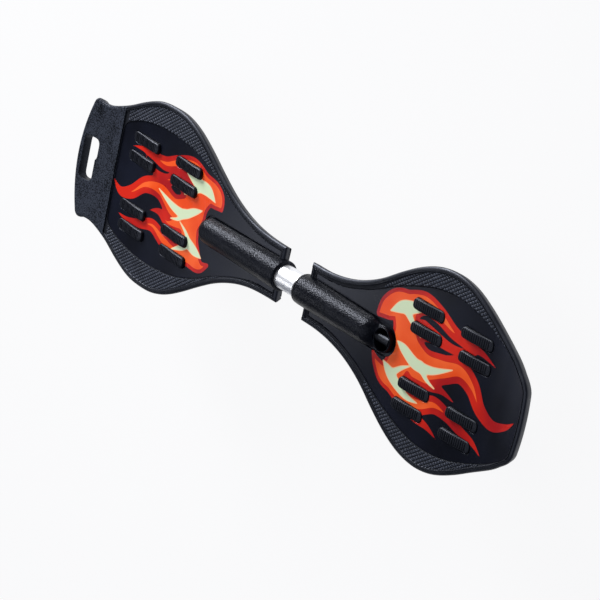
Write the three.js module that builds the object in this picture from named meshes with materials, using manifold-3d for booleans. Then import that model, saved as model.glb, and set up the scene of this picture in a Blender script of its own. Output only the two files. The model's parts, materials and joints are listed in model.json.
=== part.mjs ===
// Caster board: two foot decks on one aluminium tube. The front deck twists on the tube against a
// torsion bar, and each deck carries one raked caster whose wheel trails behind its pivot.
// Millimetres. +X points to the nose, +Z up, and the wheels stand on the ground at z = 0.

import * as THREE from 'three';
import { mergeVertices } from 'three/addons/utils/BufferGeometryUtils.js';
import Module from 'manifold-3d';

const wasm = await Module();
wasm.setup();

// Driving sizes of the whole board

const board = {
  length: 880, // tail edge to nose edge
  neckGap: 52, // bare length between the flanks of the two necks
  neckMiddle: 18, // middle of that gap, ahead of the board's middle
};

const fit = {
  gap: 0.3, // clearance between two pieces that touch
  overrun: 4, // how far a cutter runs past what it cuts
};

const rearLobeHalf = 118; // half of the widest place of each deck
const frontLobeHalf = 115.5;

// The shell of a deck: a plate with a hanging skirt, a raised rim and a recessed tray

const shell = {
  rimRise: 3, // rim above the tube axis
  depth: 11.5, // rim top to the lower edge of the skirt
  edgeRound: 2.4,
  draft: 3, // how far the skirt leans in towards its lower edge, so the moulding leaves its tool
  draftHeight: 7.5,
  rimWidth: 7,
  ledgeDrop: 1.8, // grip ledge below the rim
  plate: 3.7, // plate left under the tray
  skirtWall: 6,
};

const lattice = {
  rib: 3, // thickness of the stiffening ribs underneath
  lengthPitch: 66,
  widthPitch: 54,
};

const kickDegrees = 4.5; // each hinge line turns the deck's end up by this much

// Hand-chosen shares of a deck's length from its neck, and of half its widest place

const rearSideShares = [
  [0, 0.295], [0.07, 0.3], [0.14, 0.326], [0.208, 0.388], [0.278, 0.49], [0.347, 0.63], [0.417, 0.785],
  [0.486, 0.915], [0.55, 0.985], [0.611, 1], [0.676, 0.978], [0.745, 0.889], [0.815, 0.766],
  [0.868, 0.68], [0.905, 0.652], [0.938, 0.66],
];
const frontSideShares = [
  [0, 0.311], [0.078, 0.316], [0.154, 0.353], [0.23, 0.428], [0.306, 0.551], [0.381, 0.718],
  [0.457, 0.867], [0.533, 0.967], [0.609, 1], [0.684, 0.965], [0.76, 0.86], [0.836, 0.72],
  [0.912, 0.575], [0.952, 0.472],
];
const rearPanelShares = [
  [0.022, 0.222], [0.1, 0.232], [0.19, 0.3], [0.285, 0.42], [0.363, 0.555], [0.46, 0.672],
  [0.56, 0.722], [0.664, 0.72], [0.745, 0.672], [0.785, 0.62],
];
const frontPanelShares = [
  [0.026, 0.226], [0.091, 0.232], [0.167, 0.268], [0.28, 0.395], [0.384, 0.57], [0.485, 0.7],
  [0.558, 0.765], [0.646, 0.782], [0.747, 0.715], [0.848, 0.572], [0.9, 0.475], [0.938, 0.385],
];

// Each loop ends in a rounded corner and a slightly bowed edge

const rearForm = {
  sideShares: rearSideShares, cornerShares: [0.968, 0.712], endShares: [0.978, 0.59], edgeShare: 1,
};
const frontForm = {
  sideShares: frontSideShares, cornerShares: [0.99, 0.38], endShares: [0.993, 0.29], edgeShare: 1,
};
const rearPanelForm = {
  sideShares: rearPanelShares, cornerShares: [0.815, 0.57], endShares: [0.816, 0.5], edgeShare: 0.819,
};
const frontPanelForm = {
  sideShares: frontPanelShares, cornerShares: [0.968, 0.31], endShares: [0.971, 0.24], edgeShare: 0.976,
};

const rearRibShares = [[0.5, 0.284], [0.491, 0.509], [0.713, 0.284], [0.704, 0.509]];
const frontRibShares = [[0.538, 0.287], [0.528, 0.515], [0.752, 0.287], [0.742, 0.515]];
const rearKickShares = [0.829, 0.91];
const frontKickShares = [0.835, 0.92];
const tabShare = 0.829; // where the tray ends and the carrying tab starts

const panel = { thickness: 1.8, drop: 0.8 };
const gripRib = { length: 52, width: 14, rise: 4.6, edge: 1.6 };
const carrySlot = { width: 26, length: 60, edgeStrip: 8, step: 3, round: 9 };

// The tube, its housings and the torsion bar

const tube = { radius: 15, wall: 2.2, rearEnd: 140, frontEnd: 124 }; // ends measured from the necks
const housing = { wall: 2.2, noseOut: 5, rearEndWall: 4, frontEndWall: 5.8, bossWall: 1.5 };
const well = { radius: 15, crestDrop: 7, wall: 3.2, chamfer: 1.2 };
const bar = { radius: 6, wellEnd: 11 }; // torsion bar, and its reach past the middle of the well
const plug = { length: 24 };
const sleeve = { wall: 1.2, length: 22, collar: 2.4, collarRise: 2.2 };
const barScrew = { radius: 3, head: 6, headHeight: 4, bite: 5 };

// A caster, in its own frame: the swivel axis is its z, the mounting pad is z = 0, the wheel is below

const caster = {
  rakeDegrees: 30, // swivel axis off the vertical
  crownGap: 6.5, // tread to the crown of the fork, along the swivel axis
  trail: 22, // axle behind the swivel axis
  rearWheelX: -290,
  frontWheelX: 205,
};
const pad = { margin: 2, least: 6.4, draft: 5, round: 6 };
const plate = { length: 56, width: 58, thickness: 3, round: 7 };
const plateScrew = { radius: 2.8, head: 5, headHeight: 2.8, reach: 11, alongX: 22, alongY: 22 };
const race = { radius: 20, height: 5.6 };
const fork = { thickness: 4, leg: 4, wheelGap: 5.5, crownRim: 4.5, boss: 11, lipGap: 3, lipHeight: 2.5 };
const kingpin = { radius: 5, head: 8.5, headHeight: 5, tail: 2.6 };
const kingpinNut = { radius: 8, height: 6 };
const axle = { radius: 4, head: 7, headHeight: 5, nut: 7, nutHeight: 6, tail: 2 };
const wheel = { radius: 38, width: 24, hubRadius: 25, shoulder: 5 };
const hub = { inset: 1, web: 8, rimWall: 3.5, coreWall: 3.2, holes: 6, holeMargin: 0.3 };
const bearing = { radius: 11, width: 7, ringWall: 3.2, shoulder: 1.1 };

// How finely round shapes are faceted

const facets = { side: 16, corner: 3, end: 4, round: 1, rod: 16, ring: 12, small: 8, tyre: 22, hex: 6 };

// Widths worked out from those sizes

const padLength = plate.length + 2 * pad.margin;
const padWidth = plate.width + 2 * pad.margin;
const housingRadius = tube.radius + sleeve.wall + 2 * fit.gap + housing.wall;
const rearDomeAt = tube.rearEnd + housing.rearEndWall;
const wellAt = tube.frontEnd + housing.frontEndWall + well.wall + well.radius;
const legInside = wheel.width / 2 + fork.wheelGap;
const crownRadius = legInside + fork.leg + fork.crownRim;
const lipInside = race.radius + fork.lipGap;
const hubHalf = wheel.width / 2 - hub.inset;
const ringSplit = axle.radius + fit.gap + bearing.ringWall;

// The caster's stack, down its own axis from the mounting pad

const plateLow = -fit.gap - plate.thickness;
const raceTop = plateLow - fit.gap;
const raceLow = raceTop - race.height;
const crownTop = raceLow - fit.gap;
const crownLow = crownTop - fork.thickness;
const drop = wheel.radius + caster.crownGap - crownLow;
const rake = THREE.MathUtils.degToRad(caster.rakeDegrees);

// Levels above the ground, from the wheel up through the wedge to the deck and the tube's axis

const padHeight = wheel.radius - caster.trail * Math.sin(rake) + drop * Math.cos(rake);
const plateUnder = padHeight + (padLength / 2) * Math.sin(rake) + pad.least;
const trayFloor = plateUnder + shell.plate;
const panelTop = trayFloor + fit.gap + panel.thickness;
const ledgeTop = panelTop + panel.drop;
const rimTop = ledgeTop + shell.ledgeDrop;
const skirtBottom = rimTop - shell.depth;
const tubeHeight = rimTop - shell.rimRise;
const wellTop = tubeHeight + housingRadius - well.crestDrop;
const housingBottom = tubeHeight - housingRadius;

const rearNeckX = board.neckMiddle - board.neckGap / 2;
const frontNeckX = board.neckMiddle + board.neckGap / 2;

const rear = {
  name: 'rear',
  neckX: rearNeckX,
  outward: -1,
  length: board.length / 2 + rearNeckX,
  halfWidth: rearLobeHalf,
  form: rearForm,
  panelForm: rearPanelForm,
  ribShares: rearRibShares,
  kickShares: rearKickShares,
  wheelX: caster.rearWheelX,
  housingEnd: rearDomeAt,
};
const front = {
  name: 'front',
  neckX: frontNeckX,
  outward: 1,
  length: board.length / 2 - frontNeckX,
  halfWidth: frontLobeHalf,
  form: frontForm,
  panelForm: frontPanelForm,
  ribShares: frontRibShares,
  kickShares: frontKickShares,
  wheelX: caster.frontWheelX,
  housingEnd: wellAt,
};

const along = (deck, distance) => deck.neckX + deck.outward * distance;
const place = (deck, [lengthShare, widthShare]) =>
  new THREE.Vector2(along(deck, lengthShare * deck.length), widthShare * deck.halfWidth);

// Solids: three.js geometry in, manifold solid between cuts, three.js geometry out

function solidOf(geometry) {
  const bare = geometry.index ? geometry.clone() : geometry;
  bare.deleteAttribute('normal');
  bare.deleteAttribute('uv');
  const merged = mergeVertices(bare);
  const vertProperties = new Float32Array(merged.attributes.position.array);
  const triVerts = new Uint32Array(merged.index.array);
  if (signedVolume(vertProperties, triVerts) < 0) {
    for (let i = 0; i < triVerts.length; i += 3) {
      [triVerts[i], triVerts[i + 1]] = [triVerts[i + 1], triVerts[i]];
    }
  }
  return new wasm.Manifold(new wasm.Mesh({ numProp: 3, vertProperties, triVerts }));
}

// Six times the volume inside the triangles: negative when their faces point inward
function signedVolume(positions, triangles) {
  const corner = (i) => new THREE.Vector3().fromArray(positions, triangles[i] * 3);
  let sum = 0;
  for (let i = 0; i < triangles.length; i += 3) {
    sum += corner(i).dot(corner(i + 1).cross(corner(i + 2)));
  }
  return sum;
}

function geometryOf(solid) {
  const mesh = solid.getMesh();
  const geometry = new THREE.BufferGeometry();
  geometry.setAttribute('position', new THREE.BufferAttribute(mesh.vertProperties, mesh.numProp));
  geometry.setIndex(new THREE.BufferAttribute(mesh.triVerts, 1));
  geometry.computeVertexNormals();
  return geometry;
}

const joined = (solids) => solids.reduce((whole, solid) => whole.add(solid));
const cutBy = (solid, cutters) => cutters.reduce((whole, cutter) => whole.subtract(cutter), solid);

// A plan loop raised from one height to another, with both edges rounded by `edge`
function slab(points, bottom, top, edge = 0, edgeSteps = 1) {
  const geometry = new THREE.ExtrudeGeometry(new THREE.Shape(points), {
    depth: top - bottom - 2 * edge,
    bevelEnabled: edge > 0,
    bevelThickness: edge,
    bevelSize: edge,
    bevelOffset: -edge,
    bevelSegments: edge > 0 ? edgeSteps : 0,
  });
  geometry.translate(0, 0, bottom + edge);
  return solidOf(geometry);
}

// A plan loop raised from one height past another, leaning in towards its lower edge
function draftedSlab(points, bottom, top) {
  const geometry = new THREE.ExtrudeGeometry(new THREE.Shape(points), {
    depth: top - bottom,
    bevelThickness: shell.draftHeight,
    bevelSize: shell.draft,
    bevelOffset: -shell.draft,
    bevelSegments: 1,
  });
  geometry.translate(0, 0, bottom + shell.draftHeight);
  return solidOf(geometry);
}

// A side view in x and z, carried across the board and centred on y
function slabAcross(points, width, middleY = 0) {
  const geometry = new THREE.ExtrudeGeometry(new THREE.Shape(points), { depth: width, bevelEnabled: false });
  geometry.rotateX(Math.PI / 2);
  geometry.translate(0, middleY + width / 2, 0);
  return solidOf(geometry);
}

function block(min, max) {
  const size = max.clone().sub(min);
  const middle = min.clone().add(max).multiplyScalar(0.5);
  const geometry = new THREE.BoxGeometry(size.x, size.y, size.z);
  geometry.translate(middle.x, middle.y, middle.z);
  return solidOf(geometry);
}

// A profile of [radius, height] pairs turned about z; it starts and ends on the axis or closes on itself
function turned(profile, segments = facets.rod) {
  const points = profile.map(([radius, height]) => new THREE.Vector2(radius, height));
  const geometry = new THREE.LatheGeometry(points, segments);
  geometry.rotateX(Math.PI / 2);
  return solidOf(geometry);
}

const rod = (radius, bottom, top, segments = facets.rod) =>
  turned([[0, bottom], [radius, bottom], [radius, top], [0, top]], segments);

const ring = (inner, outer, bottom, top, segments = facets.rod) =>
  turned([[inner, bottom], [outer, bottom], [outer, top], [inner, top], [inner, bottom]], segments);

function moved(solid, matrix) {
  const geometry = geometryOf(solid);
  geometry.applyMatrix4(matrix);
  return solidOf(geometry);
}

const shifted = (solid, x, y, z) => moved(solid, new THREE.Matrix4().makeTranslation(x, y, z));

// Turns a solid built round z so that its z runs along the board, on the tube axis
const onTubeAxis = new THREE.Matrix4()
  .makeTranslation(0, 0, tubeHeight)
  .multiply(new THREE.Matrix4().makeRotationY(Math.PI / 2));
const alongTube = (solid) => moved(solid, onTubeAxis);

// Turns a solid built round z so that its z runs across the board
const acrossBoard = (solid) => moved(solid, new THREE.Matrix4().makeRotationX(-Math.PI / 2));

// Plan loops

// The side curve, a rounded corner, a bowed end, and the same again mirrored
function plateLoop(deck, form) {
  const side = new THREE.SplineCurve(form.sideShares.map((pair) => place(deck, pair))).getPoints(facets.side);
  const end = place(deck, form.endShares);
  const corner = new THREE.QuadraticBezierCurve(side.at(-1), place(deck, form.cornerShares), end);
  const bowShares = [2 * form.edgeShare - form.endShares[0], 0];
  const mirrored = ({ x, y }) => new THREE.Vector2(x, -y);
  const edge = new THREE.QuadraticBezierCurve(end, place(deck, bowShares), mirrored(end));
  const upper = [...side, ...corner.getPoints(facets.corner).slice(1)];
  return [...upper, ...edge.getPoints(facets.end).slice(1, -1), ...upper.reverse().map(mirrored)];
}

// Every point moves inward by the distance, along the mitre of its two edges
function insetLoop(points, distance) {
  const inward = THREE.ShapeUtils.isClockWise(points) ? -1 : 1;
  return points.map((point, i) => {
    const before = points[(i + points.length - 1) % points.length];
    const after = points[(i + 1) % points.length];
    const first = point.clone().sub(before).normalize();
    const second = after.clone().sub(point).normalize();
    const mitre = new THREE.Vector2(-first.y - second.y, first.x + second.x).multiplyScalar(inward);
    const stretch = distance / (1 + first.dot(second));
    return point.clone().addScaledVector(mitre, stretch);
  });
}

// A bar with two round ends, seen from above
function stadium(middleX, middleY, length, width, segments = facets.small / 2) {
  const radius = width / 2;
  const reach = length / 2 - radius;
  const shape = new THREE.Shape();
  shape.absarc(middleX + reach, middleY, radius, -Math.PI / 2, Math.PI / 2, false);
  shape.absarc(middleX - reach, middleY, radius, Math.PI / 2, (3 * Math.PI) / 2, false);
  return shape.getPoints(segments).slice(0, -1);
}

function roundedRectangle(middleX, middleY, sizeX, sizeY, radius) {
  const x = sizeX / 2 - radius;
  const y = sizeY / 2 - radius;
  const shape = new THREE.Shape();
  shape.absarc(middleX + x, middleY - y, radius, -Math.PI / 2, 0, false);
  shape.absarc(middleX + x, middleY + y, radius, 0, Math.PI / 2, false);
  shape.absarc(middleX - x, middleY + y, radius, Math.PI / 2, Math.PI, false);
  shape.absarc(middleX - x, middleY - y, radius, Math.PI, (3 * Math.PI) / 2, false);
  return shape.getPoints(facets.corner).slice(0, -1);
}

// The deck's outer end turned up a little at each hinge line, like a scored sheet

// Splits the triangles that cross a plane of constant x, so that the mesh can fold there
function scored(geometry, x) {
  const positions = Array.from(geometry.attributes.position.array);
  const sides = [];
  for (let i = 0; i < positions.length; i += 3) sides.push(Math.sign(positions[i] - x));
  const cuts = new Map();
  const cutBetween = (one, other) => {
    const [a, b] = one < other ? [one, other] : [other, one];
    const key = `${a} ${b}`;
    if (!cuts.has(key)) {
      const share = (x - positions[3 * a]) / (positions[3 * b] - positions[3 * a]);
      const mix = (axis) => positions[3 * a + axis] + share * (positions[3 * b + axis] - positions[3 * a + axis]);
      cuts.set(key, positions.length / 3);
      positions.push(x, mix(1), mix(2));
      sides.push(0);
    }
    return cuts.get(key);
  };
  const index = geometry.index.array;
  const faces = [];
  for (let i = 0; i < index.length; i += 3) {
    const corners = [index[i], index[i + 1], index[i + 2]];
    const halves = corners.every((v) => sides[v] === 0) ? [1] : [1, -1];
    for (const half of halves) {
      const ringOf = corners.flatMap((v, k) => {
        const next = corners[(k + 1) % 3];
        const own = sides[v] !== -half ? [v] : [];
        return sides[v] * sides[next] < 0 ? [...own, cutBetween(v, next)] : own;
      });
      for (let k = 2; k < ringOf.length; k += 1) faces.push(ringOf[0], ringOf[k - 1], ringOf[k]);
    }
  }
  const result = new THREE.BufferGeometry();
  result.setAttribute('position', new THREE.Float32BufferAttribute(positions, 3));
  result.setIndex(faces);
  return result;
}

function bendUp(solid, deck) {
  const hinges = deck.kickShares.map((share) => share * deck.length);
  const slope = Math.tan(THREE.MathUtils.degToRad(kickDegrees));
  const lift = (distance) => hinges.reduce((sum, hinge) => sum + slope * Math.max(0, distance - hinge), 0);
  const flat = geometryOf(solid);
  const sheet = hinges.reduce((geometry, hinge) => scored(geometry, along(deck, hinge)), flat);
  const position = sheet.attributes.position;
  for (let v = 0; v < position.count; v += 1) {
    const distance = (position.getX(v) - deck.neckX) * deck.outward;
    position.setZ(v, position.getZ(v) + lift(distance));
  }
  return solidOf(sheet);
}

// Caster placement: the wheel stands on the ground, and the pad follows from rake, drop and trail

const padPoint = (deck) =>
  new THREE.Vector3(deck.wheelX + caster.trail * Math.cos(rake) + drop * Math.sin(rake), 0, padHeight);

const casterMatrix = (deck) => {
  const matrix = new THREE.Matrix4().makeRotationY(rake);
  return matrix.setPosition(padPoint(deck));
};

const plateScrewPlaces = [1, -1].flatMap((x) =>
  [1, -1].map((y) => [x * plateScrew.alongX, y * plateScrew.alongY]),
);

// Wedge under a deck that turns the mounting face to the swivel axis
function padWedge(deck) {
  const centre = padPoint(deck);
  const reachX = (padLength / 2) * Math.cos(rake);
  const reachZ = (padLength / 2) * Math.sin(rake);
  const top = plateUnder + shell.plate / 2;
  const rearFoot = new THREE.Vector2(centre.x - reachX, centre.z + reachZ);
  const frontFoot = new THREE.Vector2(centre.x + reachX, centre.z - reachZ);
  const side = [
    rearFoot,
    frontFoot,
    new THREE.Vector2(frontFoot.x + pad.draft, top),
    new THREE.Vector2(rearFoot.x - pad.draft, top),
  ];
  return slabAcross(side, padWidth).intersect(wedgePlan(deck));
}

// Rounded plan of the wedge, used to take the hard corners off it
function wedgePlan(deck) {
  const length = padLength * Math.cos(rake) + 2 * pad.draft;
  return slab(roundedRectangle(padPoint(deck).x, 0, length, padWidth, pad.round), 0, tubeHeight);
}

function padHoles(deck) {
  const screwHole = rod(plateScrew.radius + fit.gap, -fit.overrun, plateScrew.reach + fit.gap, facets.small);
  const headRoom = rod(kingpin.head + fit.gap, -fit.overrun, kingpin.headHeight + 2 * fit.gap);
  const holes = plateScrewPlaces.map(([x, y]) => shifted(screwHole, x, y, 0));
  return [...holes, headRoom].map((hole) => moved(hole, casterMatrix(deck)));
}

// The tray lattice: pockets from below between a skirt, the spine and a grid of ribs
function underPockets(deck) {
  const loop = insetLoop(plateLoop(deck, deck.form), shell.skirtWall);
  const pockets = slab(loop, skirtBottom - fit.overrun, plateUnder);
  const low = skirtBottom - 2 * fit.overrun;
  const wallAcross = (distance) =>
    block(
      new THREE.Vector3(along(deck, distance) - lattice.rib / 2, -deck.halfWidth, low),
      new THREE.Vector3(along(deck, distance) + lattice.rib / 2, deck.halfWidth, rimTop),
    );
  const wallAlong = (y) =>
    block(
      new THREE.Vector3(-board.length, y - lattice.rib / 2, low),
      new THREE.Vector3(board.length, y + lattice.rib / 2, rimTop),
    );
  const walls = [];
  for (let distance = lattice.lengthPitch; distance < deck.length; distance += lattice.lengthPitch) {
    walls.push(wallAcross(distance));
  }
  for (let y = lattice.widthPitch / 2; y < deck.halfWidth; y += lattice.widthPitch) {
    walls.push(wallAlong(y), wallAlong(-y));
  }
  return cutBy(pockets, walls);
}

// Eight grip ribs that come up through the panel
const ribPlaces = (deck) =>
  deck.ribShares.flatMap((pair) => {
    const { x, y } = place(deck, pair);
    return [[x, y], [x, -y]];
  });

const gripRibs = (deck) =>
  ribPlaces(deck).map(([x, y]) =>
    slab(
      stadium(x, y, gripRib.length, gripRib.width),
      trayFloor - shell.plate / 2,
      panelTop + gripRib.rise,
      gripRib.edge,
    ),
  );

// Plan of the tube housing with its round end, grown by a clearance that its flats keep too
function housingPlan(deck, clearance) {
  const radius = (housingRadius + clearance) / Math.cos(Math.PI / (2 * facets.rod));
  const inner = deck.neckX - deck.outward * radius;
  const outer = along(deck, deck.housingEnd) + deck.outward * radius;
  return stadium((inner + outer) / 2, 0, Math.abs(outer - inner), 2 * radius, facets.rod);
}

const alongEnds = (deck, from, to) => [along(deck, from), along(deck, to)].sort((a, b) => a - b);

// A shell without its housing: body, grip ledge, tray, pockets below, grip ribs and caster wedge
function deckShell(deck) {
  const outline = plateLoop(deck, deck.form);
  const rounded = slab(outline, skirtBottom - fit.overrun, rimTop, shell.edgeRound, facets.round);
  const body = rounded.intersect(draftedSlab(outline, skirtBottom, rimTop));
  const above = rimTop + fit.overrun;
  const ledgeLoop = insetLoop(outline, shell.rimWidth);
  const ledgeEnd = deck === rear ? tabShare * deck.length : deck.length;
  const [ledgeFrom, ledgeTo] = alongEnds(deck, 0, ledgeEnd);
  const ledge = slab(ledgeLoop, ledgeTop, above).intersect(
    block(
      new THREE.Vector3(ledgeFrom, -deck.halfWidth, 0),
      new THREE.Vector3(ledgeTo, deck.halfWidth, above),
    ),
  );
  const tray = slab(insetLoop(plateLoop(deck, deck.panelForm), -fit.gap), trayFloor, above);
  const bare = cutBy(body, [ledge, tray, underPockets(deck)]);
  return joined([bare, ...gripRibs(deck), padWedge(deck)]);
}

// Round barrel along the tube axis, from the neck's nose to a distance along the deck
function barrel(deck, radius, from, to) {
  const [low, high] = alongEnds(deck, from, to);
  return alongTube(rod(radius, low, high));
}

const upright = (solid, deck, distance) => shifted(solid, along(deck, distance), 0, 0);

// Round end of a housing, and a flat boss under it for the screw that comes up from below
const dome = (deck) =>
  shifted(
    solidOf(new THREE.SphereGeometry(housingRadius, facets.rod, facets.rod / 2)),
    along(deck, deck.housingEnd), 0, tubeHeight,
  );
const screwBoss = (deck, distance) =>
  upright(rod(barScrew.head + housing.bossWall, housingBottom, plateUnder), deck, distance);
const screwHole = (deck, distance, top) =>
  upright(rod(barScrew.radius + fit.gap, 0, top, facets.small), deck, distance);

const plugScrewAt = tube.rearEnd - plug.length / 2;

function rearDeck() {
  const shellSolid = joined([
    deckShell(rear),
    barrel(rear, housingRadius, -housing.noseOut, rearDomeAt),
    dome(rear),
    screwBoss(rear, plugScrewAt),
  ]);
  const bore = barrel(rear, tube.radius + fit.gap, -housing.noseOut - fit.overrun, tube.rearEnd + fit.gap);
  const slotX = along(rear, rear.length - carrySlot.edgeStrip - carrySlot.width / 2);
  const slotLoop = roundedRectangle(slotX, 0, carrySlot.width, carrySlot.length, carrySlot.round);
  const stepLoop = roundedRectangle(
    slotX + carrySlot.step, carrySlot.length / 4, carrySlot.width, carrySlot.length / 2, carrySlot.round,
  );
  const slot = joined([slotLoop, stepLoop].map((loop) => slab(loop, 0, 2 * rimTop)));
  const slotWall = slab(
    roundedRectangle(slotX, 0, carrySlot.width + 2 * shell.skirtWall, carrySlot.length + 2 * shell.skirtWall,
      carrySlot.round + shell.skirtWall),
    skirtBottom, rimTop - shell.edgeRound,
  ).intersect(slab(insetLoop(plateLoop(rear, rear.form), shell.edgeRound), 0, rimTop));
  const cutters = [bore, slot, screwHole(rear, plugScrewAt, tubeHeight), ...padHoles(rear)];
  return bendUp(cutBy(shellSolid.add(slotWall), cutters), rear);
}

function frontDeck() {
  const post = upright(
    turned([
      [0, skirtBottom],
      [well.radius + well.wall, skirtBottom],
      [well.radius + well.wall, wellTop - well.chamfer],
      [well.radius + well.wall - well.chamfer, wellTop],
      [0, wellTop],
    ]),
    front,
    wellAt,
  );
  const shellSolid = joined([
    deckShell(front),
    barrel(front, housingRadius, -housing.noseOut, wellAt),
    dome(front),
    screwBoss(front, wellAt),
    post,
  ]);
  const sleeveBore = tube.radius + sleeve.wall + 2 * fit.gap;
  const bore = barrel(front, sleeveBore, -housing.noseOut - fit.overrun, tube.frontEnd + fit.gap);
  const barBore = barrel(front, bar.radius + fit.gap, 0, wellAt + bar.wellEnd + fit.gap);
  const wellCut = upright(rod(well.radius, tubeHeight, 2 * tubeHeight), front, wellAt);
  const cutters = [bore, barBore, wellCut, screwHole(front, wellAt, tubeHeight), ...padHoles(front)];
  return bendUp(cutBy(shellSolid, cutters), front);
}

// Printed inlay of a deck, lying in the tray round the housing and the grip ribs
function inlay(deck) {
  const sheet = slab(plateLoop(deck, deck.panelForm), panelTop - panel.thickness, panelTop);
  const low = 0;
  const high = 2 * rimTop;
  const houseCut = slab(housingPlan(deck, fit.gap), low, high);
  const ribCuts = ribPlaces(deck).map(([x, y]) =>
    slab(stadium(x, y, gripRib.length + 2 * fit.gap, gripRib.width + 2 * fit.gap), low, high),
  );
  return bendUp(cutBy(sheet, [houseCut, ...ribCuts]), deck);
}

// Pieces on the tube axis

const tubeEnds = [along(rear, tube.rearEnd), along(front, tube.frontEnd)];

function centreTube() {
  const pipe = alongTube(ring(tube.radius - tube.wall, tube.radius, tubeEnds[0], tubeEnds[1]));
  return pipe.subtract(screwHole(rear, plugScrewAt, tubeHeight));
}

const plugEnds = [tubeEnds[0], tubeEnds[0] + plug.length];
const plugRadius = tube.radius - tube.wall - fit.gap;

function rearBarPlug() {
  const body = alongTube(ring(bar.radius + fit.gap, plugRadius, plugEnds[0], plugEnds[1]));
  return body.subtract(screwHole(rear, plugScrewAt, tubeHeight));
}

function torsionBar() {
  const end = along(front, wellAt + bar.wellEnd);
  const body = alongTube(rod(bar.radius, plugEnds[0], end));
  return body.subtract(screwHole(front, wellAt, tubeHeight - bar.radius + barScrew.bite + fit.gap));
}

// Button-head screw driven up through the boss under a deck's housing
function housingScrew(deck, distance, top) {
  const seat = housingBottom - fit.gap;
  const profile = [
    [0, seat - barScrew.headHeight],
    [barScrew.head - barScrew.headHeight / 4, seat - barScrew.headHeight],
    [barScrew.head, seat - barScrew.headHeight / 2],
    [barScrew.head, seat],
    [barScrew.radius, seat],
    [barScrew.radius, top],
    [0, top],
  ];
  return upright(turned(profile, facets.small), deck, distance);
}

// Flanged bearing sleeve at the mouth of the front housing, and a plain one at its inner end
function mouthSleeve() {
  const inner = tube.radius + fit.gap;
  const outer = inner + sleeve.wall;
  const mouth = along(front, -housing.noseOut) - fit.gap;
  return alongTube(
    turned([
      [inner, mouth - sleeve.collar],
      [outer + sleeve.collarRise, mouth - sleeve.collar],
      [outer + sleeve.collarRise, mouth],
      [outer, mouth],
      [outer, mouth + sleeve.length],
      [inner, mouth + sleeve.length],
      [inner, mouth - sleeve.collar],
    ]),
  );
}

function innerSleeve() {
  const inner = tube.radius + fit.gap;
  return alongTube(ring(inner, inner + sleeve.wall, tubeEnds[1] - sleeve.length, tubeEnds[1]));
}

// Caster pieces, all in the caster's own frame

function mountPlate() {
  const loop = roundedRectangle(0, 0, plate.length, plate.width, plate.round);
  const sheet = slab(loop, plateLow, -fit.gap);
  const hole = rod(plateScrew.radius + fit.gap, -plate.length, plate.length, facets.small);
  const holes = plateScrewPlaces.map(([x, y]) => shifted(hole, x, y, 0));
  return cutBy(sheet, [...holes, rod(kingpin.radius + fit.gap, -plate.length, plate.length)]);
}

function plateScrewSolid([x, y]) {
  const seat = plateLow - fit.gap;
  const profile = [
    [0, seat - plateScrew.headHeight],
    [plateScrew.head - plateScrew.headHeight / 2, seat - plateScrew.headHeight],
    [plateScrew.head, seat - plateScrew.headHeight / 2],
    [plateScrew.head, seat],
    [plateScrew.radius, seat],
    [plateScrew.radius, plateScrew.reach],
    [0, plateScrew.reach],
  ];
  return shifted(turned(profile, facets.small), x, y, 0);
}

function swivelRace() {
  return ring(kingpin.radius + fit.gap, race.radius, raceLow, raceTop);
}

// Fork: a turned crown with a dust lip, and two tapered legs that sweep back to the axle
function forkSolid() {
  const crown = turned([
    [kingpin.radius + fit.gap, crownLow],
    [crownRadius, crownLow],
    [crownRadius, crownTop + fork.lipHeight],
    [lipInside, crownTop + fork.lipHeight],
    [lipInside, crownTop],
    [kingpin.radius + fit.gap, crownTop],
    [kingpin.radius + fit.gap, crownLow],
  ]);
  const reach = Math.sqrt(crownRadius ** 2 - (legInside + fork.leg) ** 2);
  const shape = new THREE.Shape();
  shape.moveTo(reach, crownTop);
  shape.lineTo(-reach, crownTop);
  shape.quadraticCurveTo(-caster.trail - fork.boss, crownLow - fork.boss, -caster.trail - fork.boss, -drop);
  shape.absarc(-caster.trail, -drop, fork.boss, Math.PI, 2 * Math.PI, false);
  shape.quadraticCurveTo(-caster.trail + fork.boss, -drop / 2, reach, crownLow);
  const points = shape.getPoints(facets.small / 2);
  const middleY = legInside + fork.leg / 2;
  const legs = [middleY, -middleY].map((y) => slabAcross(points, fork.leg, y));
  const bore = shifted(
    acrossBoard(rod(axle.radius + fit.gap, -2 * crownRadius, 2 * crownRadius, facets.small)),
    -caster.trail, 0, -drop,
  );
  return joined([crown, ...legs]).subtract(bore);
}

function kingpinSolid() {
  const seat = 0;
  const tail = crownLow - fit.gap - kingpinNut.height - kingpin.tail;
  return turned([
    [0, tail],
    [kingpin.radius, tail],
    [kingpin.radius, seat],
    [kingpin.head, seat],
    [kingpin.head, seat + kingpin.headHeight],
    [0, seat + kingpin.headHeight],
  ]);
}

function hexNut(radius, bore, bottom, top, segments) {
  return rod(radius, bottom, top, facets.hex).subtract(
    rod(bore, bottom - fit.overrun, top + fit.overrun, segments),
  );
}

function kingpinNutSolid() {
  const top = crownLow - fit.gap;
  return hexNut(kingpinNut.radius, kingpin.radius + fit.gap, top - kingpinNut.height, top, facets.rod);
}

// Wheel pieces, built round z with the axle at the origin, then turned across and put on the axle

const onAxle = (solid) => shifted(acrossBoard(solid), -caster.trail, 0, -drop);

const legOutside = legInside + fork.leg + fit.gap;

function axleBolt() {
  const shank = rod(axle.radius, -legOutside, legOutside + axle.nutHeight + axle.tail, facets.small);
  const head = rod(axle.head, -legOutside - axle.headHeight, -legOutside, facets.hex);
  return shank.add(head);
}

const axleNut = () =>
  hexNut(axle.nut, axle.radius + fit.gap, legOutside, legOutside + axle.nutHeight, facets.small);

const bearingOut = hubHalf;
const bearingIn = bearingOut - bearing.width;

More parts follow.
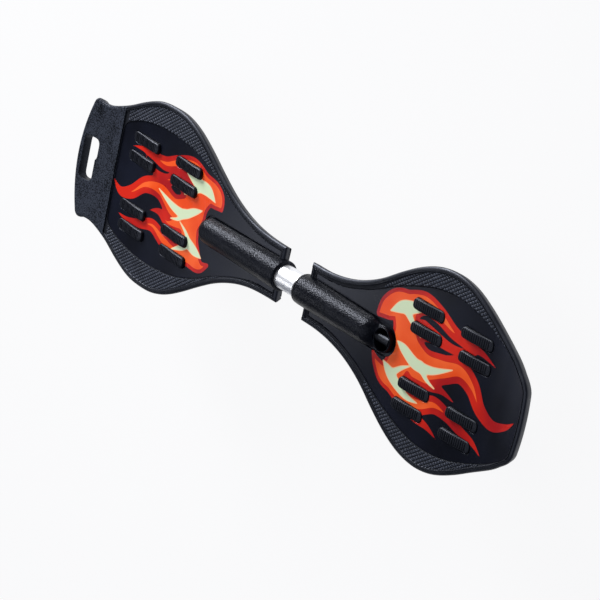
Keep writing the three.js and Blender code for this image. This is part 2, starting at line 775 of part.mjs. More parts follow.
const spacer = (side) => {
  const ends = [side * (bearingOut + fit.gap), side * (legInside - fit.gap)].sort((a, b) => a - b);
  return ring(axle.radius + fit.gap, ringSplit - fit.gap, ends[0], ends[1], facets.ring);
};

const bearingRing = (side, inner, outer) => {
  const ends = [side * bearingIn, side * bearingOut].sort((a, b) => a - b);
  return ring(inner, outer, ends[0], ends[1], facets.ring);
};

// Hub: a rim and a core joined by a thin web, with round holes through the web
function hubSolid() {
  const half = hubHalf;
  const seatIn = bearingIn - fit.gap;
  const seat = bearing.radius + fit.gap;
  const shoulder = ringSplit + bearing.shoulder;
  const core = seat + hub.coreWall;
  const rimInside = wheel.hubRadius - hub.rimWall;
  const body = turned(
    [
      [seat, half],
      [seat, seatIn],
      [shoulder, seatIn],
      [shoulder, -seatIn],
      [seat, -seatIn],
      [seat, -half],
      [core, -half],
      [core, -hub.web / 2],
      [rimInside, -hub.web / 2],
      [rimInside, -half],
      [wheel.hubRadius, -half],
      [wheel.hubRadius, half],
      [rimInside, half],
      [rimInside, hub.web / 2],
      [core, hub.web / 2],
      [core, half],
      [seat, half],
    ],
  );
  const middle = (core + rimInside) / 2;
  const hole = rod((rimInside - core) / 2 - hub.holeMargin, -half, half, facets.hex);
  const holes = Array.from({ length: hub.holes }, (_, i) => {
    const angle = (2 * Math.PI * i) / hub.holes;
    return shifted(hole, middle * Math.cos(angle), middle * Math.sin(angle), 0);
  });
  return cutBy(body, holes);
}

// Tyre: a bore on the hub, square shoulders and a round crown
function tyreSolid() {
  const half = wheel.width / 2;
  const inner = wheel.hubRadius + fit.gap;
  const shoulderRadius = wheel.radius - wheel.shoulder;
  const crown = new THREE.QuadraticBezierCurve(
    new THREE.Vector2(shoulderRadius, -half),
    new THREE.Vector2(wheel.radius, -half + wheel.shoulder / 4),
    new THREE.Vector2(wheel.radius, 0),
  ).getPoints(facets.corner);
  const lower = crown.map(({ x, y }) => [x, y]);
  const upper = lower.slice(0, -1).reverse().map(([x, y]) => [x, -y]);
  return turned([[inner, -half], ...lower, ...upper, [inner, half], [inner, -half]], facets.tyre);
}

// Finishes

const finish = (color, roughness, metalness) => new THREE.MeshStandardMaterial({ color, roughness, metalness });
const blackPlastic = () => finish('#15161a', 0.5, 0);
const panelPlastic = () => finish('#1a1c26', 0.3, 0);
const aluminium = () => finish('#d5d7da', 0.28, 1);
const steel = () => finish('#8d9196', 0.35, 1);
const springSteel = () => finish('#4a4d52', 0.4, 1);
const blackSteel = () => finish('#1d1e21', 0.45, 0.6);
const nylon = () => finish('#24262b', 0.55, 0);
const urethane = () => finish('#17181b', 0.55, 0);
const hubPlastic = () => finish('#2b2d31', 0.45, 0);

// Assembly

const part = new THREE.Group();

function add(group, name, solid, material) {
  const mesh = new THREE.Mesh(geometryOf(solid), material);
  mesh.name = name;
  group.add(mesh);
}

function addCaster(deck) {
  const group = new THREE.Group();
  group.rotation.y = rake;
  group.position.copy(padPoint(deck));
  const named = (word) => `${deck.name}_${word}`;
  add(group, named('caster_plate'), mountPlate(), steel());
  plateScrewPlaces.forEach((spot, i) =>
    add(group, named(`plate_screw_${i + 1}`), plateScrewSolid(spot), steel()),
  );
  add(group, named('swivel_race'), swivelRace(), steel());
  add(group, named('kingpin'), kingpinSolid(), steel());
  add(group, named('kingpin_nut'), kingpinNutSolid(), steel());
  add(group, named('fork'), forkSolid(), blackSteel());
  add(group, named('axle_bolt'), onAxle(axleBolt()), steel());
  add(group, named('axle_nut'), onAxle(axleNut()), steel());
  add(group, named('wheel_hub'), onAxle(hubSolid()), hubPlastic());
  add(group, named('tyre'), onAxle(tyreSolid()), urethane());
  for (const [side, word] of [[1, 'left'], [-1, 'right']]) {
    add(group, named(`axle_spacer_${word}`), onAxle(spacer(side)), aluminium());
    add(group, named(`bearing_inner_${word}`),
      onAxle(bearingRing(side, axle.radius + fit.gap, ringSplit)), steel());
    add(group, named(`bearing_outer_${word}`),
      onAxle(bearingRing(side, ringSplit + fit.gap, bearing.radius)), steel());
  }
  part.add(group);
}

add(part, 'rear_deck', rearDeck(), blackPlastic());
add(part, 'rear_deck_panel', inlay(rear), panelPlastic());
add(part, 'front_deck', frontDeck(), blackPlastic());
add(part, 'front_deck_panel', inlay(front), panelPlastic());
add(part, 'centre_tube', centreTube(), aluminium());
add(part, 'torsion_bar', torsionBar(), springSteel());
add(part, 'rear_bar_plug', rearBarPlug(), steel());
add(part, 'mouth_sleeve', mouthSleeve(), nylon());
add(part, 'inner_sleeve', innerSleeve(), nylon());
add(part, 'rear_tube_screw',
  housingScrew(rear, plugScrewAt, tubeHeight - bar.radius - barScrew.radius), steel());
add(part, 'front_bar_screw',
  housingScrew(front, wellAt, tubeHeight - bar.radius + barScrew.bite), steel());
addCaster(rear);
addCaster(front);

export default part;
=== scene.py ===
# %% [markdown]
# A caster board: two foot decks on one bright tube, with a flame print on each deck and a raked
# caster under each end. The CAD model gives every size and every moving body, and this script gives
# the board its looks. Blender works in metres and the shapes here are worked out in millimetres, so
# each finished mesh is scaled once, when it is handed to its body.

# %% Load the frame
import json

import bmesh
import bpy
import numpy as np
from mathutils import Matrix, Vector


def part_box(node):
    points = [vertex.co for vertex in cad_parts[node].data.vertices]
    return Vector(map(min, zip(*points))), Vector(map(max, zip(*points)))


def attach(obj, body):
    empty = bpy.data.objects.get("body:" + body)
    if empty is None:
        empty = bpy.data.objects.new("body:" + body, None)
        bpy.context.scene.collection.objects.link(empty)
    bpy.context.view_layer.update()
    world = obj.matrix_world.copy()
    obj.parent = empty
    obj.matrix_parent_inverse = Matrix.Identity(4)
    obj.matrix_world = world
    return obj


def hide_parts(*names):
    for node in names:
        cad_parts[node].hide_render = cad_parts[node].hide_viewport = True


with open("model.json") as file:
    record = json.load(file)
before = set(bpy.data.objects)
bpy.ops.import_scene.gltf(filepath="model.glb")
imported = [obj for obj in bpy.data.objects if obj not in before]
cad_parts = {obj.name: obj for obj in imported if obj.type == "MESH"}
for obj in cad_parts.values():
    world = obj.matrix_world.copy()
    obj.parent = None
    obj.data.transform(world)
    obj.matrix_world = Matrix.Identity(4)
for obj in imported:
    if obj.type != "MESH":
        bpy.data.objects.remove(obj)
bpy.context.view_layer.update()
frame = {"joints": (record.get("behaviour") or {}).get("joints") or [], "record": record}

MM = 0.001
BODY_OF = {node: body for body, nodes in frame["record"]["behaviour"]["bodies"].items() for node in nodes}

# %% [markdown]
# The tube is the backbone of the board, so every level of a deck is a step above or below its axis.
# Reading the axis from the frame keeps the looks in place if the CAD model changes its height.

# %% Sizes read from the frame
def box_mm(node):
    """The lowest and the highest corner of a CAD node, in mm."""
    low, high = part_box(node)
    return np.array(low) / MM, np.array(high) / MM


tube_low, tube_high = box_mm("centre_tube")
TUBE_RADIUS = (tube_high[1] - tube_low[1]) / 2
TUBE_WALL = 2.2
AXIS = (tube_high[2] + tube_low[2]) / 2
HOUSING_RADIUS = box_mm("rear_deck")[1][2] - AXIS

GAP = 0.3  # between two pieces that touch
RIM_TOP = AXIS + 3.0
RIM_WIDTH = 6.0
LEDGE_TOP = RIM_TOP - 1.8
PANEL_TOP = LEDGE_TOP - 0.8
PANEL_THICKNESS = 1.8
TRAY_FLOOR = PANEL_TOP - PANEL_THICKNESS - GAP
PLATE_UNDER = TRAY_FLOOR - 3.7
SKIRT_BOTTOM = RIM_TOP - 11.5
SKIRT_WALL = 6.0
SKIRT_DRAFT, SKIRT_DRAFT_HEIGHT = 3.0, 7.5  # the skirt leans in towards its lower edge
NOSE_OUT = 5.0  # the tube housing stands this far out of the neck
print("tube radius", round(TUBE_RADIUS, 2), "axis", round(AXIS, 2), "housing", round(HOUSING_RADIUS, 2))

# %% [markdown]
# The two decks are drawn the same way. Each outline is a smooth curve through a few places, given as
# shares of the deck's length from its neck and of half its width, then a round corner and a bowed
# end. The inlay has a loop of its own. The ribs and the fold lines are placed by shares as well.

# %% The two decks
DECK_SHARES = {
    "rear": {
        "side_shares": [(0, .295), (.07, .3), (.14, .326), (.208, .388), (.278, .49), (.347, .63),
                        (.417, .785), (.486, .915), (.55, .985), (.611, 1), (.676, .978),
                        (.745, .889), (.815, .766), (.868, .69), (.903, .655), (.932, .653)],
        "corner_shares": [(.965, .712), (.973, .595)],
        "panel_shares": [(.022, .222), (.1, .232), (.19, .3), (.285, .42), (.363, .555), (.46, .672),
                         (.56, .722), (.664, .72), (.745, .672), (.785, .62)],
        "panel_corner_shares": [(.8243, .57), (.8253, .5)],
        "panel_edge_share": .8283,
        "rib_shares": [(.5, .272), (.491, .487), (.713, .272), (.704, .487)],
        "rib_length": 58.0,
        "fold_shares": [.829, .91],
        "ledge_share": .829,
    },
    "front": {
        "side_shares": [(0, .311), (.078, .316), (.154, .353), (.23, .428), (.306, .551), (.381, .718),
                        (.457, .867), (.533, .967), (.609, 1), (.684, .96), (.76, .85), (.836, .704),
                        (.912, .56), (.952, .462)],
        "corner_shares": [(.99, .38), (.993, .29)],
        "panel_shares": [(.026, .226), (.091, .232), (.167, .268), (.28, .395), (.384, .57), (.485, .7),
                         (.558, .765), (.646, .785), (.747, .725), (.848, .595), (.9, .51), (.938, .43)],
        "panel_corner_shares": [(.974, .35), (.977, .26)],
        "panel_edge_share": .982,
        "rib_shares": [(.538, .287), (.528, .515), (.752, .287), (.742, .515)],
        "rib_length": 52.0,
        "fold_shares": [.835, .92],
        "ledge_share": 2,
    },
}
decks = {}
for name, shares in DECK_SHARES.items():
    low, high = box_mm(f"{name}_deck")
    out = -1 if name == "rear" else 1
    neck = high[0] - NOSE_OUT if name == "rear" else low[0] + NOSE_OUT
    tip = low[0] if name == "rear" else high[0]
    decks[name] = {"name": name, "out": out, "neck": neck, "length": abs(tip - neck),
                   "half": (high[1] - low[1]) / 2, **shares}
    print(name, {k: round(float(decks[name][k]), 1) for k in ("neck", "length", "half")})


def place(deck, shares):
    """Plan points in mm: the first share runs along the deck from its neck, the second across it."""
    shares = np.atleast_2d(np.asarray(shares, float))
    x = deck["neck"] + deck["out"] * shares[:, 0] * deck["length"]
    return np.column_stack([x, shares[:, 1] * deck["half"]])


# %% [markdown]
# Curves come first, because every solid below is a loop or a profile carried somewhere. A Catmull-Rom
# curve passes through its points, which makes an outline easy to steer. Corners of profiles are
# softened by a short curve, since no moulded or turned edge on a real board is sharp.

# %% Curve tools
def smooth_path(points, count):
    """A Catmull-Rom curve: between two points the speed at each is half the step over its neighbours."""
    points = np.asarray(points, float)
    t = np.linspace(0, len(points) - 1, count)
    i = np.minimum(t.astype(int), len(points) - 2)
    w = (t - i)[:, None]
    a, b, c, d = (points[np.clip(i + k, 0, len(points) - 1)] for k in (-1, 0, 1, 2))
    v0, v1 = (c - a) / 2, (d - b) / 2
    return (2 * b - 2 * c + v0 + v1) * w**3 + (3 * c - 3 * b - 2 * v0 - v1) * w**2 + v0 * w + b


def bezier(a, control, b, count):
    """A quadratic curve from a to b, drawn towards its control point."""
    t = np.linspace(0, 1, count)[:, None]
    return (1 - t) ** 2 * np.asarray(a) + 2 * t * (1 - t) * np.asarray(control) + t**2 * np.asarray(b)


def soften(points, radius, steps=4):
    """Each corner becomes a quadratic curve between the points a `radius` before and after it."""
    p = np.asarray(points, float)
    radius = np.broadcast_to(np.asarray(radius, float), len(p))
    before, after = np.roll(p, 1, 0), np.roll(p, -1, 0)
    length_before = np.linalg.norm(p - before, axis=1)
    length_after = np.linalg.norm(after - p, axis=1)
    cut = np.minimum(radius, 0.49 * np.minimum(length_before, length_after))
    start = p + (before - p) * (cut / np.maximum(length_before, 1e-9))[:, None]
    end = p + (after - p) * (cut / np.maximum(length_after, 1e-9))[:, None]
    t = np.linspace(0, 1, steps + 1)[None, :, None]
    curve = (1 - t) ** 2 * start[:, None] + 2 * t * (1 - t) * p[:, None] + t**2 * end[:, None]
    flat = curve.reshape(-1, p.shape[1])
    fresh = np.linalg.norm(flat - np.roll(flat, 1, 0), axis=1) > 1e-6
    fresh[0] = True
    return flat[fresh]


def inset(loop, distance):
    """Every point of a counter-clockwise loop moves inward along the mitre of its two edges."""
    first = loop - np.roll(loop, 1, 0)
    second = np.roll(loop, -1, 0) - loop
    first /= np.linalg.norm(first, axis=1)[:, None]
    second /= np.linalg.norm(second, axis=1)[:, None]
    turn = first + second
    mitre = np.column_stack([-turn[:, 1], turn[:, 0]])
    return loop + distance * mitre / (1 + (first * second).sum(1))[:, None]


def counter_clockwise(loop):
    """The loop turned round if its area, from the sum of its edges' cross products, is negative."""
    x, y = loop.T
    area = (x * np.roll(y, -1) - y * np.roll(x, -1)).sum()
    return loop if area > 0 else loop[::-1]


SIDE_POINTS, CORNER_POINTS, EDGE_POINTS = 150, 12, 24
SMOOTHING_ROUNDS = 6


def deck_loop(deck, side_shares, corner_shares, edge_share=1):
    """Side curve, round corner, bowed end edge, and the same again mirrored across the board."""
    side = smooth_path(place(deck, side_shares), SIDE_POINTS)
    for _ in range(SMOOTHING_ROUNDS):
        side[1:-1] = (side[:-2] + 2 * side[1:-1] + side[2:]) / 4
    control, end = place(deck, corner_shares)
    corner = bezier(side[-1], control, end, CORNER_POINTS)[1:]
    middle = place(deck, [(2 * edge_share - corner_shares[1][0], 0)])[0]
    edge = bezier(end, middle, end * [1, -1], EDGE_POINTS)[1:-1]
    upper = np.vstack([side, corner])
    return counter_clockwise(np.vstack([upper, edge, upper[::-1] * [1, -1]]))


for deck in decks.values():
    deck["outline"] = deck_loop(deck, deck["side_shares"], deck["corner_shares"])
    deck["panel"] = deck_loop(deck, deck["panel_shares"], deck["panel_corner_shares"],
                              deck["panel_edge_share"])
    print(deck["name"], "outline points", len(deck["outline"]), "panel points", len(deck["panel"]))

# %% [markdown]
# A solid is made in one of three ways: rings of a loop stacked into a block, a profile turned about
# an axis, or a cut of one solid by another. The Manifold solver cuts closed meshes fast and leaves
# them closed. Normals are worked out again after each merge, so every face points outward.

# %% Solid tools
MERGE_WITHIN = 1e-4  # mm


def split_large(sheet):
    """Faces of more than four corners become triangles."""
    large = [face for face in sheet.faces if len(face.verts) > 4]
    bmesh.ops.triangulate(sheet, faces=large, ngon_method="EAR_CLIP")


def solid(points, faces):
    """Closed mesh object in mm from points and faces, doubles merged and faces turned outward."""
    mesh = bpy.data.meshes.new("solid")
    mesh.from_pydata(np.asarray(points, float).tolist(), [], faces)
    sheet = bmesh.new()
    sheet.from_mesh(mesh)
    bmesh.ops.remove_doubles(sheet, verts=sheet.verts, dist=MERGE_WITHIN)
    bmesh.ops.recalc_face_normals(sheet, faces=sheet.faces)
    split_large(sheet)
    sheet.to_mesh(mesh)
    sheet.free()
    thing = bpy.data.objects.new("solid", mesh)
    bpy.context.scene.collection.objects.link(thing)
    return thing


def ring_faces(rows, columns, closed_rows=False):
    """Quads between neighbouring rows of a grid whose columns run round and close."""
    row = np.arange(rows if closed_rows else rows - 1)[:, None] * columns
    next_row = (row + columns) % (rows * columns)
    column = np.arange(columns)
    next_column = (column + 1) % columns
    corners = [row + column, row + next_column, next_row + next_column, next_row + column]
    return np.stack(corners, -1).reshape(-1, 4)


def stacked(loop, profile):
    """A loop at several insets and heights, closed by a flat face below and above.
    A height may be a number or a function of the plan points."""
    layers = []
    for distance, height in profile:
        plan = inset(loop, distance)
        z = height(plan) if callable(height) else np.full(len(plan), height)
        layers.append(np.column_stack([plan, z]))
    n, rows = len(loop), len(layers)
    faces = ring_faces(rows, n).tolist()
    faces += [list(range(n))[::-1], list(range((rows - 1) * n, rows * n))]
    return solid(np.vstack(layers), faces)


def turned(profile, matrix=Matrix.Identity(4), segments=64):
    """A profile of (radius, height) turned about z. It starts and ends on the axis, or else closes."""
    profile = np.asarray(profile, float)
    angle = np.linspace(0, 2 * np.pi, segments, endpoint=False)
    radius, height = profile[:, 0:1], profile[:, 1:2]
    x, y = radius * np.cos(angle), radius * np.sin(angle)
    points = np.stack([x, y, np.broadcast_to(height, x.shape)], -1).reshape(-1, 3)
    hollow = profile[0, 0] > 1e-6
    thing = solid(points, ring_faces(len(profile), segments, closed_rows=hollow).tolist())
    thing.data.transform(matrix)
    return thing


def combine(target, others, operation="DIFFERENCE"):
    """Cuts or joins the others into the target, one after another, and removes them."""
    for other in others:
        cut = target.modifiers.new("cut", "BOOLEAN")
        cut.operation = operation
        cut.solver = "MANIFOLD"
        cut.object = other
        result = target.evaluated_get(bpy.context.evaluated_depsgraph_get())
        shape = bpy.data.meshes.new_from_object(result)
        target.modifiers.clear()
        target.data = shape
        bpy.data.objects.remove(other)
    return target


def rounded_loop(x, y, size_x, size_y, radius, steps=8):
    """A rectangle round (x, y) whose corners are softened."""
    half = np.array([size_x, size_y]) / 2
    corners = np.array([[-1, -1], [1, -1], [1, 1], [-1, 1]]) * half + [x, y]
    return soften(corners, radius, steps)


def block(low, high):
    """A box between its lowest and its highest corner."""
    corners = [(x, y, z) for x in (low[0], high[0]) for y in (low[1], high[1]) for z in (low[2], high[2])]
    faces = [(0, 1, 3, 2), (4, 6, 7, 5), (0, 4, 5, 1), (2, 3, 7, 6), (0, 2, 6, 4), (1, 5, 7, 3)]
    return solid(corners, faces)


ALONG_X = Matrix.Rotation(np.pi / 2, 4, "Y")  # turns z into the board's length
on_tube = Matrix.Translation((0, 0, AXIS)) @ ALONG_X

# %% [markdown]
# The outer end of each deck turns up a little, as a foot stop. The fold is soft: the height grows
# along a short curve at each fold line and straight after it. Points of fine grids are simply
# lifted. A solid with large flat faces is first split into triangles and scored across, so that
# those faces can bend. The flats are marked, because they keep a flat shading next to round edges.

# %% Fold the deck's end up
FOLD_SLOPE = np.tan(np.radians(4.5))
FOLD_SOFTNESS = 12.0  # mm before and after a fold line over which the deck bends
FOLD_SCORES = 7
LEVEL_ENOUGH = 0.9995  # share of a face's normal that points straight up or down


def lift(deck, x):
    """Height added at x: zero before a fold line, a parabola across it, a straight slope after it."""
    distance = (np.asarray(x, float) - deck["neck"]) * deck["out"]
    rise = np.zeros_like(distance)
    for share in deck["fold_shares"]:
        past = distance - share * deck["length"]
        curve = (past + FOLD_SOFTNESS) ** 2 / (4 * FOLD_SOFTNESS)
        bent = np.where(past < -FOLD_SOFTNESS, 0, curve)
        rise += FOLD_SLOPE * np.where(past > FOLD_SOFTNESS, past, bent)
    return rise


def lifted(deck, points):
    """The same points, each raised by the lift at its place along the deck."""
    points = np.array(points, float)
    points[:, 2] += lift(deck, points[:, 0])
    return points


def rows_of(items, name):
    """One vector of each vertex or face of a mesh, such as its place, as the rows of an array."""
    rows = np.empty(len(items) * 3)
    items.foreach_get(name, rows)
    return rows.reshape(-1, 3)


def fold_up(thing, deck):
    """Marks the large flats, scores the solid near each fold line, then lifts its points."""
    sheet = bmesh.new()
    sheet.from_mesh(thing.data)
    flat = sheet.faces.layers.int.new("flat")
    for face in sheet.faces:
        face[flat] = abs(face.normal.z) > LEVEL_ENOUGH
    split_large(sheet)
    for share in deck["fold_shares"]:
        for step in np.linspace(-FOLD_SOFTNESS, FOLD_SOFTNESS, FOLD_SCORES):
            x = deck["neck"] + deck["out"] * (share * deck["length"] + step)
            everything = [*sheet.verts, *sheet.edges, *sheet.faces]
            bmesh.ops.bisect_plane(sheet, geom=everything, plane_co=(x, 0, 0), plane_no=(1, 0, 0))
    sheet.to_mesh(thing.data)
    sheet.free()
    points = rows_of(thing.data.vertices, "co")
    thing.data.vertices.foreach_set("co", lifted(deck, points).ravel())
    thing.data.update()
    return thing


# %% [markdown]
# A finished solid is handed over in one step: it is scaled to metres, gets its name, its material,
# its shading and the body it rides on, and the CAD node that it stands for is hidden.

# %% Hand a piece over
def hand_over(thing, name, node, *finishes, angle=32.0):
    """Scales to metres, shades smooth up to an angle, and registers the piece with its body."""
    thing.name = name
    thing.data.name = name
    thing.data.transform(Matrix.Scale(MM, 4))
    thing.data.materials.clear()
    for finish in finishes:
        thing.data.materials.append(finish)
    thing.data.shade_smooth()
    thing.data.set_sharp_from_angle(angle=np.radians(angle))
    flat = thing.data.attributes.get("flat")
    if flat:
        marks = np.empty(len(thing.data.polygons), np.int32)
        flat.data.foreach_get("value", marks)
        thing.data.polygons.foreach_set("use_smooth", marks == 0)
    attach(thing, BODY_OF[node])
    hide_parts(node)
    return thing


def report(thing):
    """Prints a finished piece's name, its number of faces and its size in mm."""
    size = np.ptp(rows_of(thing.data.vertices, "co"), axis=0) / MM
    print(thing.name, len(thing.data.polygons), "faces", np.round(size, 1))


# %% [markdown]
# Materials share two helpers. One turns the sRGB hex colours, which are what a picture shows, into
# the linear values that Blender renders with. The other adds a node with its settings and links, so
# that a material reads as a short list of nodes. A value that is the same all over the surface is
# set on the node's own socket, and a value that changes is linked to it.

# %% Material tools
def linear(hex_colour):
    """sRGB hex to linear light: a short straight part near black, then a power of 2.4."""
    s = np.array([int(hex_colour[k:k + 2], 16) for k in (1, 3, 5)]) / 255
    return tuple(np.where(s <= 0.04045, s / 12.92, ((s + 0.055) / 1.055) ** 2.4)) + (1.0,)


def add_node(tree, kind, inputs=None, stops=(), **settings):
    """Adds one node. An input that is another node's output is linked to it, any other is set.
    `stops` are the places and tones of a ramp: sRGB hex colours, or grey values."""
    node = tree.nodes.new(kind)
    for name, value in settings.items():
        setattr(node, name, value)
    for name, value in (inputs or {}).items():
        if isinstance(value, bpy.types.NodeSocket):
            tree.links.new(value, node.inputs[name])
        else:
            node.inputs[name].default_value = value
    if stops:
        for element, (position, tone) in zip(node.color_ramp.elements, stops):
            element.position = position
            element.color = linear(tone) if isinstance(tone, str) else (tone, tone, tone, 1)
    return node


def new_material(name):
    """A material without nodes but the one that gives the piece's own coordinates, in metres."""
    material = bpy.data.materials.new(name)
    material.use_nodes = True
    tree = material.node_tree
    tree.nodes.clear()
    return material, tree, add_node(tree, "ShaderNodeTexCoord").outputs["Object"]


def per_mm(size):
    """Texture scale on Object coordinates, which are metres, for a feature this many mm wide."""
    return 1 / (size * MM)


# %% [markdown]
# The decks are glass-filled nylon, injection moulded in a spark-eroded mould, which leaves a fine
# pebble grain: matt, but with a broad soft highlight where the surface turns to the light. The
# housings have the coarse grain of a leather pebble, the rims a finer one, and the tail tab a
# stipple. One function makes all of them from the width and depth of the grain.

# %% Moulded plastic
BLOTCH = 26  # mm, the width of the soft cloudiness that every moulding has


def moulded_plastic(name, dark, pale, grain, depth, roughness, specular=0.5, stops=(0.1, 0.34)):
    """Height is the distance to the nearest pebble's middle plus a finer noise. The tone goes from
    dark to pale with that distance times a cloud, and the cloud also moves the roughness. So the
    pits of the grain are darker, a painted shade, broken up by the random cloud."""
    material, tree, spot = new_material(name)
    pebble = add_node(tree, "ShaderNodeTexVoronoi",
                      {"Vector": spot, "Scale": per_mm(grain), "Randomness": 1.0}).outputs["Distance"]
    cloud = add_node(tree, "ShaderNodeTexNoise",
                     {"Vector": spot, "Scale": per_mm(BLOTCH), "Detail": 3.0}).outputs["Fac"]
    fine = add_node(tree, "ShaderNodeTexNoise",
                    {"Vector": spot, "Scale": per_mm(grain * 0.7), "Detail": 2.0})
    height = add_node(tree, "ShaderNodeMath", {0: pebble, 1: fine.outputs["Fac"]}, operation="ADD")
    bump = add_node(tree, "ShaderNodeBump",
                    {"Height": height.outputs[0], "Strength": 0.9, "Distance": depth * MM})
    mix = add_node(tree, "ShaderNodeMath", {0: cloud, 1: pebble}, operation="MULTIPLY")
    tone = add_node(tree, "ShaderNodeValToRGB", {"Fac": mix.outputs[0]},
                    [(stops[0], dark), (stops[1], pale)])
    rough = add_node(tree, "ShaderNodeValToRGB", {"Fac": cloud},
                     [(0.3, roughness - 0.05), (0.7, roughness + 0.07)])
    shader = add_node(tree, "ShaderNodeBsdfPrincipled",
                      {"Base Color": tone.outputs["Color"], "Roughness": rough.outputs["Color"],
                       "Normal": bump.outputs["Normal"], "Specular IOR Level": specular,
                       "Specular Tint": linear("#d3dcf6")})
    add_node(tree, "ShaderNodeOutputMaterial", {"Surface": shader.outputs["BSDF"]})
    return material


rim_plastic = moulded_plastic("moulded nylon fine grain", "#090a0f", "#13151c", 1.2, 0.07, 0.44, 0.42)
housing_plastic = moulded_plastic("moulded nylon pebble grain", "#05060a", "#0d0f16", 2.0, 0.34, 0.33, 0.15)
# The stipple's dark pits are painted shade and its pale tops a painted highlight, much paler than the rim.
tab_plastic = moulded_plastic("moulded nylon stipple with painted shade and highlight", "#030406", "#31353f", 2.0, 0.6, 0.42, 0.14,
                              (0.12, 0.28))
# The ledge plastic is darker, a painted shade for the knurl's groove floors, and the stud plastic paler, a
# painted highlight on the studs.
ledge_groove_shade_plastic = moulded_plastic("moulded nylon ledge painted groove shade", "#050609", "#0a0b10", 0.8, 0.06, 0.6, 0.3)
stud_highlight_plastic = moulded_plastic("moulded nylon studs painted highlight", "#1e2128", "#3f434f", 0.9, 0.06, 0.42, 0.45)
rib_plastic = moulded_plastic("moulded nylon ribs", "#05060a", "#0c0d13", 0.8, 0.05, 0.42, 0.3)
wheel_plastic = moulded_plastic("moulded nylon hub", "#24262a", "#34373c", 0.8, 0.04, 0.45)
print("plastics", [material.name for material in bpy.data.materials])

# %% [markdown]
# The inlay is a thin sheet of glossy ABS with the flames printed under a clear film. The pattern is
# held on the mesh as three distances in mm: how deep a point lies inside the red shape, the orange
# shape and the pale hearts. The shader only asks whether each is above zero, which keeps the edges
# of the print crisp at any distance.

# %% Printed inlay
PRINT_EDGE = 0.18  # mm over which two inks meet
HEART_BORDER = 0.9  # mm of warm ink round the pale hearts


def printed_inlay():
    """Each ink covers the ones before it where its distance is above zero."""
    material, tree, spot = new_material("gloss abs printed")
    cloud = add_node(tree, "ShaderNodeTexNoise",
                     {"Vector": spot, "Scale": per_mm(60), "Detail": 2.0}).outputs["Fac"]
    tones = [add_node(tree, "ShaderNodeValToRGB", {"Fac": cloud}, stops).outputs["Color"] for stops in (
        [(0.35, "#07080f"), (0.7, "#0d101d")],
        [(0.38, "#a51213"), (0.62, "#d3240f")],
        [(0.38, "#ea480c"), (0.62, "#f9662a")])]
    ink = tones[0]
    layers = [("red", 0, tones[1]), ("orange", 0, tones[2]), ("heart", -HEART_BORDER, linear("#f9c492")),
              ("heart", 0, linear("#d3e2bd"))]
    for name, edge, tone in layers:
        field = add_node(tree, "ShaderNodeAttribute", attribute_name=name)
        inside = add_node(tree, "ShaderNodeMapRange",
                          {"Value": field.outputs["Fac"], "From Min": edge - PRINT_EDGE / 2,
                           "From Max": edge + PRINT_EDGE / 2})
        mix = add_node(tree, "ShaderNodeMixRGB",
                       {"Fac": inside.outputs["Result"], "Color1": ink, "Color2": tone})
        ink = mix.outputs["Color"]
    peel = add_node(tree, "ShaderNodeTexNoise", {"Vector": spot, "Scale": per_mm(5), "Detail": 1.0})
    bump = add_node(tree, "ShaderNodeBump",
                    {"Height": peel.outputs["Fac"], "Strength": 0.25, "Distance": 0.05 * MM})
    rough = add_node(tree, "ShaderNodeValToRGB", {"Fac": cloud}, [(0.3, 0.27), (0.7, 0.34)])
    shader = add_node(tree, "ShaderNodeBsdfPrincipled",
                      {"Base Color": ink, "Roughness": rough.outputs["Color"],
                       "Normal": bump.outputs["Normal"], "Specular IOR Level": 0.2,
                       "Specular Tint": linear("#cdd8f8")})
    add_node(tree, "ShaderNodeOutputMaterial", {"Surface": shader.outputs["BSDF"]})
    return material


inlay_print = printed_inlay()
print(inlay_print.name, len(inlay_print.node_tree.nodes), "nodes")

# %% [markdown]
# Metals: the tube is drawn aluminium with fine lines along it, the fork is steel under black powder
# coat, which has a slight orange peel, and the fasteners and races are zinc plated, so they are a
# little cloudy. A metal's colour is its reflection, so the base colour is pale and metallic is 1.

# %% Metals and rubber
def plain_finish(name, colour, roughness, spread, grain, depth, strength, detail, metallic=0.0,
                 stretch=(1, 1, 1)):
    """One colour, with a roughness and a height that both follow one noise. A small `stretch`
    along an axis draws the noise out into lines."""
    material, tree, spot = new_material(name)
    drawn = add_node(tree, "ShaderNodeMapping", {"Vector": spot, "Scale": stretch})
    noise = add_node(tree, "ShaderNodeTexNoise",
                     {"Vector": drawn.outputs["Vector"], "Scale": per_mm(grain), "Detail": detail})
    rough = add_node(tree, "ShaderNodeValToRGB", {"Fac": noise.outputs["Fac"]},
                     [(0.3, roughness - spread), (0.7, roughness + spread)])
    bump = add_node(tree, "ShaderNodeBump",
                    {"Height": noise.outputs["Fac"], "Strength": strength, "Distance": depth * MM})
    shader = add_node(tree, "ShaderNodeBsdfPrincipled",
                      {"Base Color": linear(colour), "Metallic": metallic,
                       "Roughness": rough.outputs["Color"], "Normal": bump.outputs["Normal"]})
    add_node(tree, "ShaderNodeOutputMaterial", {"Surface": shader.outputs["BSDF"]})
    return material


def metal(name, colour, roughness, spread, grain=0.4, stretch=(1, 1, 1)):
    """Bare metal: its colour is its reflection, and its grain is fine and shallow."""
    return plain_finish(name, colour, roughness, spread, grain, 0.01, 0.5, 4.0, 1.0, stretch)


def coated(name, colour, roughness, peel, depth):
    """Powder coat or cast polyurethane: no metal, and a soft, wide unevenness."""
    return plain_finish(name, colour, roughness, 0.06, peel, depth, 0.6, 3.0)


